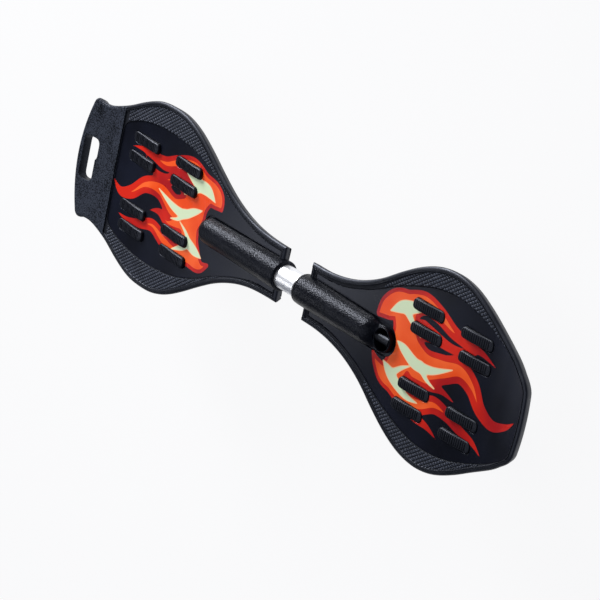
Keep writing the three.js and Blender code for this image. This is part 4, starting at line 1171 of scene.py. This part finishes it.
def knurled_sheet(deck):
    """Rows run from the tray's edge to the rim, columns along the deck; each side is one grid.
    It also gives the faces that lie in a groove: those with two or more corners near its floor, which get
    the darker plastic as painted shade."""
    ends = place(deck, [(share, 0) for share in KNURL_RANGE_SHARES[deck["name"]]])[:, 0]
    x = np.arange(min(ends), max(ends), KNURL_STEP)
    inner = half_width(inset(deck["panel"], -GAP - KNURL_EDGE), x)
    outer = half_width(inset(deck["outline"], RIM_WIDTH + KNURL_EDGE), x)
    wide = outer - inner > KNURL_LEAST_WIDTH
    x, inner, outer = x[wide], inner[wide], outer[wide]
    rows = int((outer - inner).max() / KNURL_STEP) + 1
    y = inner + (outer - inner) * np.linspace(0, 1, rows)[:, None]
    x = np.broadcast_to(x, y.shape)
    height = stud_height(x, y)
    z = LEDGE_TOP + KNURL_RAISED + height + lift(deck, x)
    left = np.stack([x, y, z], -1).reshape(-1, 3)
    squares = grid_squares(np.arange(y.size).reshape(y.shape).T)
    both_sides = np.vstack([squares, squares[:, ::-1] + y.size])
    thing = walled_sheet(np.vstack([left, left * [1, -1, 1]]), both_sides, KNURL_THICKNESS)
    shaded_pit = (height.ravel()[squares] < SHADED_PIT_HEIGHT).sum(1) > 1
    return thing, np.tile(shaded_pit, 2)


for name, deck in decks.items():
    thing, shaded_pit = knurled_sheet(deck)
    hand_over(thing, f"{name}_grip_net", f"{name}_deck", stud_highlight_plastic, ledge_groove_shade_plastic, angle=50)
    # Groove floors take the darker plastic, a painted shade; the studs' paler plastic is a painted
    # highlight.
    thing.data.polygons.foreach_set("material_index", shaded_pit.astype(np.int32))
    report(thing)

# %% [markdown]
# A grip rib is a long hump with grooves across its back. Its cross-section is a squarish half oval.
# It is low at the outer end of the deck and rises towards the neck, where it stops at a steep face
# that holds the foot. The grooves are cut only into the top, so the flanks stay plain.

# %% Grip ribs
TOOTH_PITCH, TOOTH_DEPTH = 3.1, 0.9
TOOTHLESS, TOOTH_FADE = 2.5, 1.5  # mm at each end without grooves, and over which they fade
TOP_FROM, TOP_FADE = 0.9, 0.06  # shares of the rib's height from which its top counts
RIB_END, RIB_STEP, RIB_SUNK = 6.5, 0.4, 1.5  # mm: the round end, a row's length, depth in the tray
LOW_SHARE = 0.3  # of the rise, kept at the outer end
CLIMB_FROM, CLIMB_OVER = 0.85, 1.3  # of half the rib's length, where its back climbs to the neck
END_POWER = 2.4  # p: how square the end of the rib is in plan


def rib_grid(deck):
    """Rows along the rib, columns round its section: |cos|^0.5 across and |sin|^0.42 up. The end is
    round by the superellipse width^p + past^p = 1, and the back rises on a smooth step."""
    reach = deck["rib_length"] / 2
    straight = reach - RIB_END
    end = (1 - (1 - np.linspace(0, 1, 12)) ** 2.5) * RIB_END
    row = np.r_[-straight - end[::-1], np.arange(-straight + RIB_STEP, straight, RIB_STEP), straight + end]
    past = np.clip((abs(row) - straight) / RIB_END, 0, 1)
    width = RIB_WIDTH / 2 * (1 - past**END_POWER) ** (1 / END_POWER)
    base = TRAY_FLOOR - RIB_SUNK
    inward = np.clip((CLIMB_FROM - deck["out"] * row / reach) / CLIMB_OVER, 0, 1)
    rise = RIB_RISE * (LOW_SHARE + (1 - LOW_SHARE) * inward**2 * (3 - 2 * inward))
    height = (PANEL_TOP + rise - base) * (1 - past**9) ** 0.4
    turn = np.linspace(0, np.pi, 27)
    across_share = np.sign(np.cos(turn)) * abs(np.cos(turn)) ** 0.5
    up_share = abs(np.sin(turn)) ** 0.42
    groove = np.clip(np.cos(2 * np.pi * row / TOOTH_PITCH) * 1.5 - 0.2, 0, 1)
    groove *= np.clip((reach - TOOTHLESS - abs(row)) / TOOTH_FADE, 0, 1)
    on_top = np.clip((up_share - TOP_FROM) / TOP_FADE, 0, 1)
    z = base + height[:, None] * up_share - TOOTH_DEPTH * groove[:, None] * on_top
    y = width[:, None] * across_share
    x = np.broadcast_to(row[:, None], y.shape)
    return np.stack([x, y, z], -1)


def grip_ribs(deck):
    """The same rib at each of a deck's places, lifted with the fold, as one solid."""
    grid = rib_grid(deck)
    rows, columns = grid.shape[:2]
    faces, points = [], []
    for number, (x, y) in enumerate(rib_places(deck)):
        points.append(lifted(deck, grid.reshape(-1, 3) + [x, y, 0]))
        faces.append(ring_faces(rows, columns) + number * rows * columns)
    return solid(np.vstack(points), np.vstack(faces).tolist())


for name, deck in decks.items():
    report(hand_over(grip_ribs(deck), f"{name}_grip_ribs", f"{name}_deck", rib_plastic, angle=40))

# %% [markdown]
# Inside the housings the tube is held twice. At the rear a screw from below goes through the tube
# and a plug pressed round the torsion bar, so tube, bar and rear deck turn as one. At the front the
# tube runs in two nylon sleeves, while a second screw holds the bar's end under the open well. The
# deck can therefore twist, and the bar springs it back. All of these are turned parts.

# %% Tube, bar and sleeves
SLEEVE_COLLAR, SLEEVE_RISE = 2.4, 2.2
HOUSING_BOTTOM = AXIS - HOUSING_RADIUS


def pipe(inner, outer, start, stop, bevel=0.4, segments=96):
    """A tube between two places along the board, with its four edges broken by `bevel`."""
    loop = soften([(inner, start), (outer, start), (outer, stop), (inner, stop)], bevel, 3)
    return turned(loop, on_tube, segments)


def node_ends(node):
    """Where a node starts and stops along the board."""
    low, high = box_mm(node)
    return low[0], high[0]


def torsion_bar():
    """A solid bar, so its profile starts and ends on the axis."""
    start, stop = node_ends("torsion_bar")
    profile = [(0, start), (BAR_RADIUS, start), (BAR_RADIUS, stop), (0, stop)]
    bar = turned(soften(profile, [0, 0.9, 0.9, 0], 4), on_tube, 64)
    return combine(bar, [screw_hole(decks["front"], box_mm("front_bar_screw")[1][2] + GAP)])


def mouth_sleeve(bore, outside):
    """A sleeve with a collar that lies against the housing's mouth."""
    mouth, end = node_ends("mouth_sleeve")
    section = [(bore, mouth), (outside + SLEEVE_RISE, mouth), (outside + SLEEVE_RISE, mouth + SLEEVE_COLLAR),
               (outside, mouth + SLEEVE_COLLAR), (outside, end), (bore, end)]
    return turned(soften(section, 0.4, 3), on_tube, 96)


rear = decks["rear"]
tube = pipe(TUBE_RADIUS - TUBE_WALL, TUBE_RADIUS, tube_low[0], tube_high[0], 0.5, 128)
tube = combine(tube, [screw_hole(rear, AXIS)])
report(hand_over(tube, "centre_tube_drawn", "centre_tube", tube_metal))
report(hand_over(torsion_bar(), "torsion_bar_ground", "torsion_bar", spring_metal))

plug = pipe(BAR_RADIUS + GAP, TUBE_RADIUS - TUBE_WALL - GAP, *node_ends("rear_bar_plug"), 0.6, 64)
plug = combine(plug, [screw_hole(rear, AXIS)])
report(hand_over(plug, "rear_bar_plug_turned", "rear_bar_plug", turned_steel))

bore = TUBE_RADIUS + GAP
outside = bore + SLEEVE_WALL
report(hand_over(mouth_sleeve(bore, outside), "mouth_sleeve_turned", "mouth_sleeve", sleeve_nylon))
inner_sleeve = pipe(bore, outside, *node_ends("inner_sleeve"), 0.3)
report(hand_over(inner_sleeve, "inner_sleeve_turned", "inner_sleeve", sleeve_nylon))

# %% [markdown]
# Every screw, pin and bolt here is cold headed and then rolled, so a head has a soft crown and the
# thread is a row of ridges no wider than the shank. The thread is drawn as closed rings instead of
# a helix, which looks the same on a few turns and keeps the mesh closed. Cross recesses and hexagons
# are cut, because they are the only parts of a fastener that aren't round.

# %% Fastener tools
THREAD_PITCH, THREAD_DEPTH = 1.25, 0.45


def thread(radius, start, stop):
    """Profile of a threaded shank: crest and root points every half pitch between two heights."""
    turns = max(int(abs(stop - start) / THREAD_PITCH), 1)
    heights = np.linspace(start, stop, 2 * turns + 1)
    return [(radius - THREAD_DEPTH * (k % 2), z) for k, z in enumerate(heights)]


def hex_block(radius, low, high):
    """A hexagonal bar whose six corners are turned off at both ends by a shallow cone."""
    angle = np.radians(30 + 60 * np.arange(6))
    hexagon = np.column_stack([radius * np.cos(angle), radius * np.sin(angle)])
    to_flat = radius * np.cos(np.pi / 6)
    cone = turned([(0, low), (to_flat - 0.2, low), (radius, low + 0.8), (radius, high - 0.8),
                   (to_flat - 0.2, high), (0, high)], segments=48)
    return combine(stacked(hexagon, [(0, low), (0, high)]), [cone], "INTERSECT")


def cross_recess(size, z, depth):
    """A cross of two bars, sunk upwards into a head from its face at height z. One bar is a
    hundredth of a mm longer at both ends, so that no two faces lie in the same plane."""
    low, high, slim = z - 1, z + depth, 2 * size / 9
    bar = stacked(rounded_loop(0, 0, size, slim, 0.3, 3), [(0, low), (0, high)])
    other = stacked(rounded_loop(0, 0, slim, size, 0.3, 3), [(0, low - 0.01), (0, high + 0.01)])
    return combine(bar, [other], "UNION")


def nut(radius, bore, low, high, collar=0.0):
    """A hexagon nut with a broken bore; a `collar` above it holds the nylon ring of a lock nut."""
    body = hex_block(radius, low, high - collar)
    if collar:
        ring_radius = radius * np.cos(np.pi / 6) - 0.5
        body = combine(body, [turned([(0, low + 1), (ring_radius, low + 1), (ring_radius, high - 0.6),
                                      (ring_radius - 0.7, high), (0, high)])], "UNION")
    hole = turned([(0, low - 1), (bore + 0.7, low - 1), (bore + 0.7, low), (bore, low + 0.6),
                   (bore, high - 0.5), (bore + 0.4, high), (bore + 0.4, high + 1), (0, high + 1)],
                  segments=32)
    return combine(body, [hole])


def pan_screw(radius, head, seat, face, tip):
    """Pan-head screw along z, its head between `face` and `seat`, its thread up to `tip`."""
    rise = seat - face
    crown = [(0, face), (head * 0.45, face + 0.04 * rise), (head * 0.78, face + 0.2 * rise),
             (head * 0.95, face + 0.48 * rise), (head, face + 0.75 * rise), (head, seat)]
    shank = [(radius, seat), (radius, seat + 1.5), *thread(radius, seat + 1.5, tip - 1),
             (radius * 0.7, tip), (0, tip)]
    return combine(turned([*crown, *shank], segments=24), [cross_recess(head * 1.15, face, 0.6 * rise)])


for name, node in SCREW_NODES.items():
    low, high = box_mm(node)
    screw = pan_screw(SCREW_RADIUS, SCREW_HEAD, HOUSING_BOTTOM - GAP, low[2], high[2])
    screw.data.transform(upright(decks[name], decks[name]["screw_at"]))
    report(hand_over(screw, f"{node}_pan_head", node, zinc_metal))

# %% [markdown]
# The caster plate is stamped from 3 mm steel and zinc plated, and four screws from below hold it to
# the wedge. Under it sits the swivel race, two pressed cups with a row of balls between them, of
# which only the rolled waist shows. The kingpin goes down through plate, race and fork to a lock nut.

# %% Plate, screws, race and kingpin
PLATE_LENGTH, PLATE_WIDTH, PLATE_ROUND = 56.0, 58.0, 7.0
PLATE_LOW, PLATE_HIGH = -GAP - 3.0, -GAP
PLATE_SCREW_HEAD, PLATE_SCREW_RISE = 5.0, 2.8
KINGPIN_RADIUS, KINGPIN_NUT, KINGPIN_NUT_HEIGHT = 5.0, 8.0, 6.0
KINGPIN_PAST_NUT = 2.6
RACE_RADIUS, RACE_FACE, RACE_WAIST = 20.0, 18.4, 19.0  # radii of the cups' rims, faces and waist
RACE_TOP = PLATE_LOW - GAP
RACE_LOW = RACE_TOP - 5.6
CROWN_TOP = RACE_LOW - GAP
CROWN_LOW = CROWN_TOP - 4.0
NUT_TOP = CROWN_LOW - GAP
BORE = KINGPIN_RADIUS + GAP


def in_caster(deck, thing, word, look, label):
    """Tilts a piece from the caster's upright frame into place and hands it over."""
    thing.data.transform(deck["caster"])
    return hand_over(thing, f"{deck['name']}_{word}_{label}", f"{deck['name']}_{word}", look)


def pressed_plate():
    """A rounded plate with soft edges, four screw holes and the kingpin's hole."""
    edge = [(0.7, PLATE_LOW), (0.2, PLATE_LOW + 0.2), (0, PLATE_LOW + 0.7)]
    body = stacked(rounded_loop(0, 0, PLATE_LENGTH, PLATE_WIDTH, PLATE_ROUND),
                   [*edge, *[(d, PLATE_LOW + PLATE_HIGH - z) for d, z in edge[::-1]]])
    holes = [rod(PLATE_SCREW_RADIUS + GAP, -9, 9, Matrix.Translation((x, y, 0)), 32)
             for x, y in PLATE_SCREW_PLACES[::-1]]
    return combine(body, [*holes, rod(BORE, -9, 9)])


def swivel_race():
    """Two cups that mirror each other about the waist between them."""
    waist = (RACE_LOW + RACE_TOP) / 2
    cup = [(BORE, RACE_LOW), (RACE_FACE, RACE_LOW), (RACE_RADIUS, RACE_LOW + 1.0),
           (RACE_RADIUS, waist - 0.5), (RACE_WAIST, waist - 0.25)]
    other = [(radius, RACE_LOW + RACE_TOP - z) for radius, z in cup[::-1]]
    return turned(soften([*cup, *other], 0.35, 3), segments=96)


def kingpin():
    """A threaded shank that comes out under its nut, and a head with a soft crown."""
    low, head, top = NUT_TOP - KINGPIN_NUT_HEIGHT - KINGPIN_PAST_NUT, KINGPIN_HEAD, KINGPIN_HEAD_HEIGHT
    shank = [(0, low), (KINGPIN_RADIUS - 0.8, low), *thread(KINGPIN_RADIUS, low + 0.8, CROWN_LOW)]
    return turned([*shank, (KINGPIN_RADIUS, 0), (head, 0), (head, top - 2), (head - 0.5, top - 0.9),
                   (head - 1.8, top - 0.2), (head - 3.6, top), (0, top)], segments=48)


for deck in decks.values():
    in_caster(deck, pressed_plate(), "caster_plate", zinc_metal, "pressed")
    seat = PLATE_LOW - GAP
    face = seat - PLATE_SCREW_RISE
    for number, (x, y) in enumerate(PLATE_SCREW_PLACES, 1):
        screw = pan_screw(PLATE_SCREW_RADIUS, PLATE_SCREW_HEAD, seat, face, PLATE_SCREW_REACH)
        screw.data.transform(Matrix.Translation((x, y, 0)))
        in_caster(deck, screw, f"plate_screw_{number}", zinc_metal, "pan_head")
    in_caster(deck, swivel_race(), "swivel_race", turned_steel, "pressed_cups")
    in_caster(deck, kingpin(), "kingpin", zinc_metal, "headed")
    lock = nut(KINGPIN_NUT, BORE, NUT_TOP - KINGPIN_NUT_HEIGHT, NUT_TOP)
    report(in_caster(deck, lock, "kingpin_nut", zinc_metal, "hexagon"))

# %% [markdown]
# The fork is pressed steel under black powder coat: a dished crown whose rim shields the race from
# dust, and two legs that sweep back to the axle. Sweeping them back puts the wheel behind its pivot,
# which is what makes a raked caster steer when the deck tilts. Pressed edges are rounded.

# %% Forks
CROWN_RADIUS, LIP_INSIDE, LIP_HEIGHT = 26.0, 23.0, 2.5
LEG_INSIDE, LEG = 17.5, 4.0
AXLE_BEHIND, AXLE_DROP, BOSS_RADIUS = 22.0, 58.0, 11.0
AXLE_RADIUS = 4.0
axle_frame = Matrix.Translation((-AXLE_BEHIND, 0, -AXLE_DROP)) @ Matrix.Rotation(-np.pi / 2, 4, "X")


def leg_outline():
    """Side view in x and z: down the back by a curve, round the axle, and up the front by another."""
    reach = np.sqrt(CROWN_RADIUS**2 - (LEG_INSIDE + LEG) ** 2)
    back, front_x = -AXLE_BEHIND - BOSS_RADIUS, -AXLE_BEHIND + BOSS_RADIUS
    down = bezier((-reach, CROWN_TOP), (back, CROWN_LOW - BOSS_RADIUS), (back, -AXLE_DROP), 18)
    round_axle = arc(BOSS_RADIUS, (-AXLE_BEHIND, -AXLE_DROP), 180, 360, 20)[1:-1]
    up = bezier((front_x, -AXLE_DROP), (front_x, -AXLE_DROP / 2), (reach, CROWN_LOW), 18)
    return np.vstack([[(reach, CROWN_TOP)], down, round_axle, up])


def fork():
    """A dished crown with a rolled lip, two legs, and a hole for the axle through both."""
    corners = [(BORE, CROWN_LOW), (CROWN_RADIUS, CROWN_LOW), (CROWN_RADIUS, CROWN_TOP + LIP_HEIGHT),
               (LIP_INSIDE, CROWN_TOP + LIP_HEIGHT), (LIP_INSIDE, CROWN_TOP), (BORE, CROWN_TOP)]
    crown = turned(soften(corners, [0.4, 2.4, 1.2, 1.2, 0.8, 0.4], 5), segments=96)
    legs = [across(leg_outline(), LEG, 1.2, side * (LEG_INSIDE + LEG / 2)) for side in (-1, 1)]
    bolt_hole = rod(AXLE_RADIUS + GAP, -60, 60, axle_frame, 40)
    return combine(combine(crown, legs, "UNION"), [bolt_hole])


for deck in decks.values():
    report(in_caster(deck, fork(), "fork", fork_coat, "pressed"))

# %% [markdown]
# The wheel turns on two ball bearings on a fixed bolt, with a turned spacer on each side. The hub is
# moulded nylon, a rim and a core joined by a web with six holes, and the tyre is polyurethane cast
# round it, with a round crown and the fine witness lines of its mould near the shoulders.

# %% Wheels and axles
LEG_OUTSIDE = LEG_INSIDE + LEG + GAP
AXLE_HEAD, AXLE_HEAD_HEIGHT, AXLE_NUT_HEIGHT, AXLE_PAST_LEG = 7.0, 5.0, 6.0, 8.0
AXLE_THREAD_FROM, NUT_COLLAR = 12.0, 1.8
BEARING_IN, BEARING_OUT, RING_SPLIT = 4.0, 11.0, 7.5  # two places along the axle and a radius
BEARING_RADIUS, SHIELD_INSIDE, SHIELD_OUTSIDE, SHIELD_DEPTH = 11.0, 6.1, 9.6, 0.5
HUB_RADIUS, HUB_RIM, HUB_CORE, HUB_SEAT, HUB_BORE = 25.0, 21.5, 14.5, 11.3, 8.6
HUB_HALF, HUB_WEB, HUB_STOP = 11.0, 4.0, 3.7  # half widths of the hub, its web and its seats' stop
HUB_HOLE, HUB_HOLES_AT = 2.8, 18.0
TYRE_RADIUS, TYRE_HALF, TYRE_SHOULDER = 38.0, 12.0, 33.0
MOULD_LINE_AT, MOULD_LINE_HALF, MOULD_LINE_DEPTH = -9.3, 0.3, 0.18


def on_axle(deck, thing, word, look, label):
    """Lays a piece drawn about z along the axle, then does as in_caster does."""
    thing.data.transform(axle_frame)
    return in_caster(deck, thing, word, look, label)


def axle_bolt():
    """A hexagon head and a shank that is threaded at its far end."""
    seat, tip, threaded = -LEG_OUTSIDE, LEG_OUTSIDE + AXLE_PAST_LEG, AXLE_THREAD_FROM
    shank = turned([(0, seat), (AXLE_RADIUS, seat), (AXLE_RADIUS, threaded),
                    *thread(AXLE_RADIUS, threaded, tip - 0.8), (AXLE_RADIUS - 0.9, tip), (0, tip)],
                   segments=32)
    return combine(hex_block(AXLE_HEAD, seat - AXLE_HEAD_HEIGHT, seat), [shank], "UNION")


def bearing_ring(plain, step, stepped, side):
    """A ground ring from its plain radius to its stepped one, past a step down to the shield."""
    near, far = BEARING_IN + SHIELD_DEPTH, BEARING_OUT - SHIELD_DEPTH
    loop = [(plain, BEARING_IN), (step, BEARING_IN), (step, near), (stepped, near), (stepped, far),
            (step, far), (step, BEARING_OUT), (plain, BEARING_OUT)]
    loop = [(radius, side * z) for radius, z in loop]
    return turned(counter_clockwise(soften(loop, 0.25, 2)), segments=64)


def hub():
    """Half a section is drawn and mirrored: seat, core, web and rim, with fillets where they meet."""
    half = [(HUB_BORE, HUB_STOP), (HUB_SEAT, HUB_STOP), (HUB_SEAT, HUB_HALF), (HUB_CORE, HUB_HALF),
            (HUB_CORE, HUB_WEB), (HUB_RIM, HUB_WEB), (HUB_RIM, HUB_HALF), (HUB_RADIUS, HUB_HALF)]
    fillets = [0.4, 0.3, 0.4, 0.6, 1.6, 1.6, 0.6, 0.4]
    section = soften([*half, *[(radius, -z) for radius, z in half[::-1]]], [*fillets, *fillets[::-1]], 4)
    turn = np.arange(6) * np.pi / 3
    places = zip(HUB_HOLES_AT * np.cos(turn), HUB_HOLES_AT * np.sin(turn))
    holes = [rod(HUB_HOLE, -9, 9, Matrix.Translation((x, y, 0)), 24) for x, y in places]
    return combine(turned(counter_clockwise(section), segments=96), holes)


def tyre():
    """A quadratic curve from shoulder to crown and its mirror, with a fine groove as the mould line."""
    crown = bezier((TYRE_SHOULDER, -TYRE_HALF), (TYRE_RADIUS, -TYRE_HALF + 1.25), (TYRE_RADIUS, 0), 20)
    off_line = abs(crown[:, 1] - MOULD_LINE_AT) / MOULD_LINE_HALF
    crown[:, 0] -= MOULD_LINE_DEPTH * np.maximum(1 - off_line, 0)
    section = [(HUB_RADIUS + GAP, -TYRE_HALF), *crown, *(crown[-2::-1] * [1, -1]),
               (HUB_RADIUS + GAP, TYRE_HALF)]
    radii = np.zeros(len(section))
    radii[[0, 1, -2, -1]] = 0.5, 0.8, 0.8, 0.5
    return turned(soften(section, radii, 3), segments=128)


def axle_spacer(side):
    """A turned sleeve between the bearing and the leg on one side."""
    low, high = sorted([side * (BEARING_OUT + GAP), side * (LEG_INSIDE - GAP)])
    bore, outside = AXLE_RADIUS + GAP, RING_SPLIT - GAP
    return turned(soften([(bore, low), (outside, low), (outside, high), (bore, high)], 0.4, 3), segments=48)


for deck in decks.values():
    on_axle(deck, axle_bolt(), "axle_bolt", zinc_metal, "hexagon")
    lock = nut(AXLE_HEAD, AXLE_RADIUS + GAP, LEG_OUTSIDE, LEG_OUTSIDE + AXLE_NUT_HEIGHT, NUT_COLLAR)
    on_axle(deck, lock, "axle_nut", zinc_metal, "locking")
    for side, word in ((1, "left"), (-1, "right")):
        on_axle(deck, axle_spacer(side), f"axle_spacer_{word}", spacer_metal, "turned")
        inner_ring = bearing_ring(AXLE_RADIUS + GAP, SHIELD_INSIDE, RING_SPLIT, side)
        on_axle(deck, inner_ring, f"bearing_inner_{word}", turned_steel, "ground")
        outer_ring = bearing_ring(BEARING_RADIUS, SHIELD_OUTSIDE, RING_SPLIT + GAP, side)
        on_axle(deck, outer_ring, f"bearing_outer_{word}", turned_steel, "ground")
    report(on_axle(deck, hub(), "wheel_hub", wheel_plastic, "moulded"))
    report(on_axle(deck, tyre(), "tyre", tyre_rubber, "cast"))

# %% [markdown]
# The photograph looks down on the board from beyond its nose, with the camera turned almost on its
# side. Three angles describe that: where the camera stands round the board, how high, and how far it
# is rolled. A long lens from far away keeps the two halves at nearly the same scale.

# %% Camera
CAMERA_ROUND, CAMERA_HIGH, CAMERA_ROLL = 23.2, 38.1, -92.6  # degrees
CAMERA_FAR = 3500.0  # mm from the point that it looks at
LENS = 180.2
AIM_RIGHT, AIM_UP = 19.0, -26.2  # mm in the picture from the board's middle to that point


def camera_axes():
    """Towards the camera, then level right and up across that, both turned by the roll."""
    a, e, roll = np.radians([CAMERA_ROUND, CAMERA_HIGH, CAMERA_ROLL])
    back = np.array([np.cos(e) * np.cos(a), np.cos(e) * np.sin(a), np.sin(e)])
    level = np.array([-np.sin(a), np.cos(a), 0])
    above = np.cross(back, level)
    right = np.cos(roll) * level + np.sin(roll) * above
    return right, np.cross(back, right), back


right, up, back = camera_axes()
print("camera right", np.round(right, 3), "up", np.round(up, 3), "back", np.round(back, 3))
aim = np.array([0, 0, RIM_TOP]) + AIM_RIGHT * right + AIM_UP * up
eye = bpy.data.cameras.new("camera")
eye.lens, eye.sensor_width = LENS, 36
eye.clip_end = 50
camera = bpy.data.objects.new("camera", eye)
turn = Matrix(np.column_stack([right, up, back]).tolist()).to_4x4()
camera.matrix_world = Matrix.Translation((aim + CAMERA_FAR * back) * MM) @ turn
bpy.context.scene.collection.objects.link(camera)
bpy.context.scene.camera = camera

# %% [markdown]
# A studio lights such a board with large soft panels, so that dark plastic shows its edges as long
# highlights. The key panel stands low beyond the tail, a wide one hangs overhead, and a small weak
# one gives the sheen on the housings. The floor is near white, and most of what the camera sees of
# it glows by itself, so that the shadow stays faint, as in a catalogue picture.

# %% Light, floor and world
def lamp(name, towards, distance, width, height, watts):
    """A soft panel that looks at the board's middle from a direction, at a distance in metres."""
    light = bpy.data.lights.new(name, "AREA")
    light.shape, light.size, light.size_y, light.energy = "RECTANGLE", width, height, watts
    thing = bpy.data.objects.new(name, light)
    place_at = Vector(towards).normalized() * distance
    thing.location = place_at
    thing.rotation_euler = place_at.to_track_quat("Z", "X").to_euler()
    bpy.context.scene.collection.objects.link(thing)


lamp("key panel", (-0.72, 0.6, 0.38), 2.6, 0.9, 0.7, 88)
lamp("overhead panel", (0.1, -0.1, 1.0), 2.6, 2.4, 2.4, 26)
lamp("sheen panel", (-0.573, -0.2, 0.617), 0.865, 0.22, 0.22, 0.55)

world = bpy.data.worlds.new("studio")
world.use_nodes = True
sky = world.node_tree.nodes["Background"]
sky.inputs["Color"].default_value = linear("#dfe8ff")
sky.inputs["Strength"].default_value = 0.15
bpy.context.scene.world = world
bpy.context.scene.view_settings.view_transform = "Standard"

FLOOR_CLEAR = 0.95  # share of the floor that the camera sees as plain background


def floor_material():
    """Matt paper mixed with a plain glow, which only camera, mirror and see-through rays meet."""
    material, tree, spot = new_material("white paper sweep")
    mottle = add_node(tree, "ShaderNodeTexNoise", {"Vector": spot, "Scale": per_mm(300)})
    tone = add_node(tree, "ShaderNodeValToRGB", {"Fac": mottle.outputs["Fac"]},
                    [(0.3, "#f3f4f6"), (0.7, "#f6f7f9")])
    paper = add_node(tree, "ShaderNodeBsdfPrincipled",
                     {"Base Color": tone.outputs["Color"], "Roughness": 0.9})
    glow = add_node(tree, "ShaderNodeEmission", {"Strength": 1.0, "Color": linear("#fbfbfc")})
    ray = add_node(tree, "ShaderNodeLightPath")
    seen = ray.outputs["Is Camera Ray"]
    for kind in ("Is Glossy Ray", "Is Transmission Ray"):
        either = add_node(tree, "ShaderNodeMath", {0: seen, 1: ray.outputs[kind]}, operation="MAXIMUM")
        seen = either.outputs[0]
    share = add_node(tree, "ShaderNodeMath", {0: seen, 1: FLOOR_CLEAR}, operation="MULTIPLY")
    mix = add_node(tree, "ShaderNodeMixShader",
                   {0: share.outputs[0], 1: paper.outputs[0], 2: glow.outputs[0]})
    add_node(tree, "ShaderNodeOutputMaterial", {"Surface": mix.outputs[0]})
    return material


bpy.ops.mesh.primitive_plane_add(size=30)
floor = bpy.context.object
floor.name = "floor"
floor.data.materials.append(floor_material())
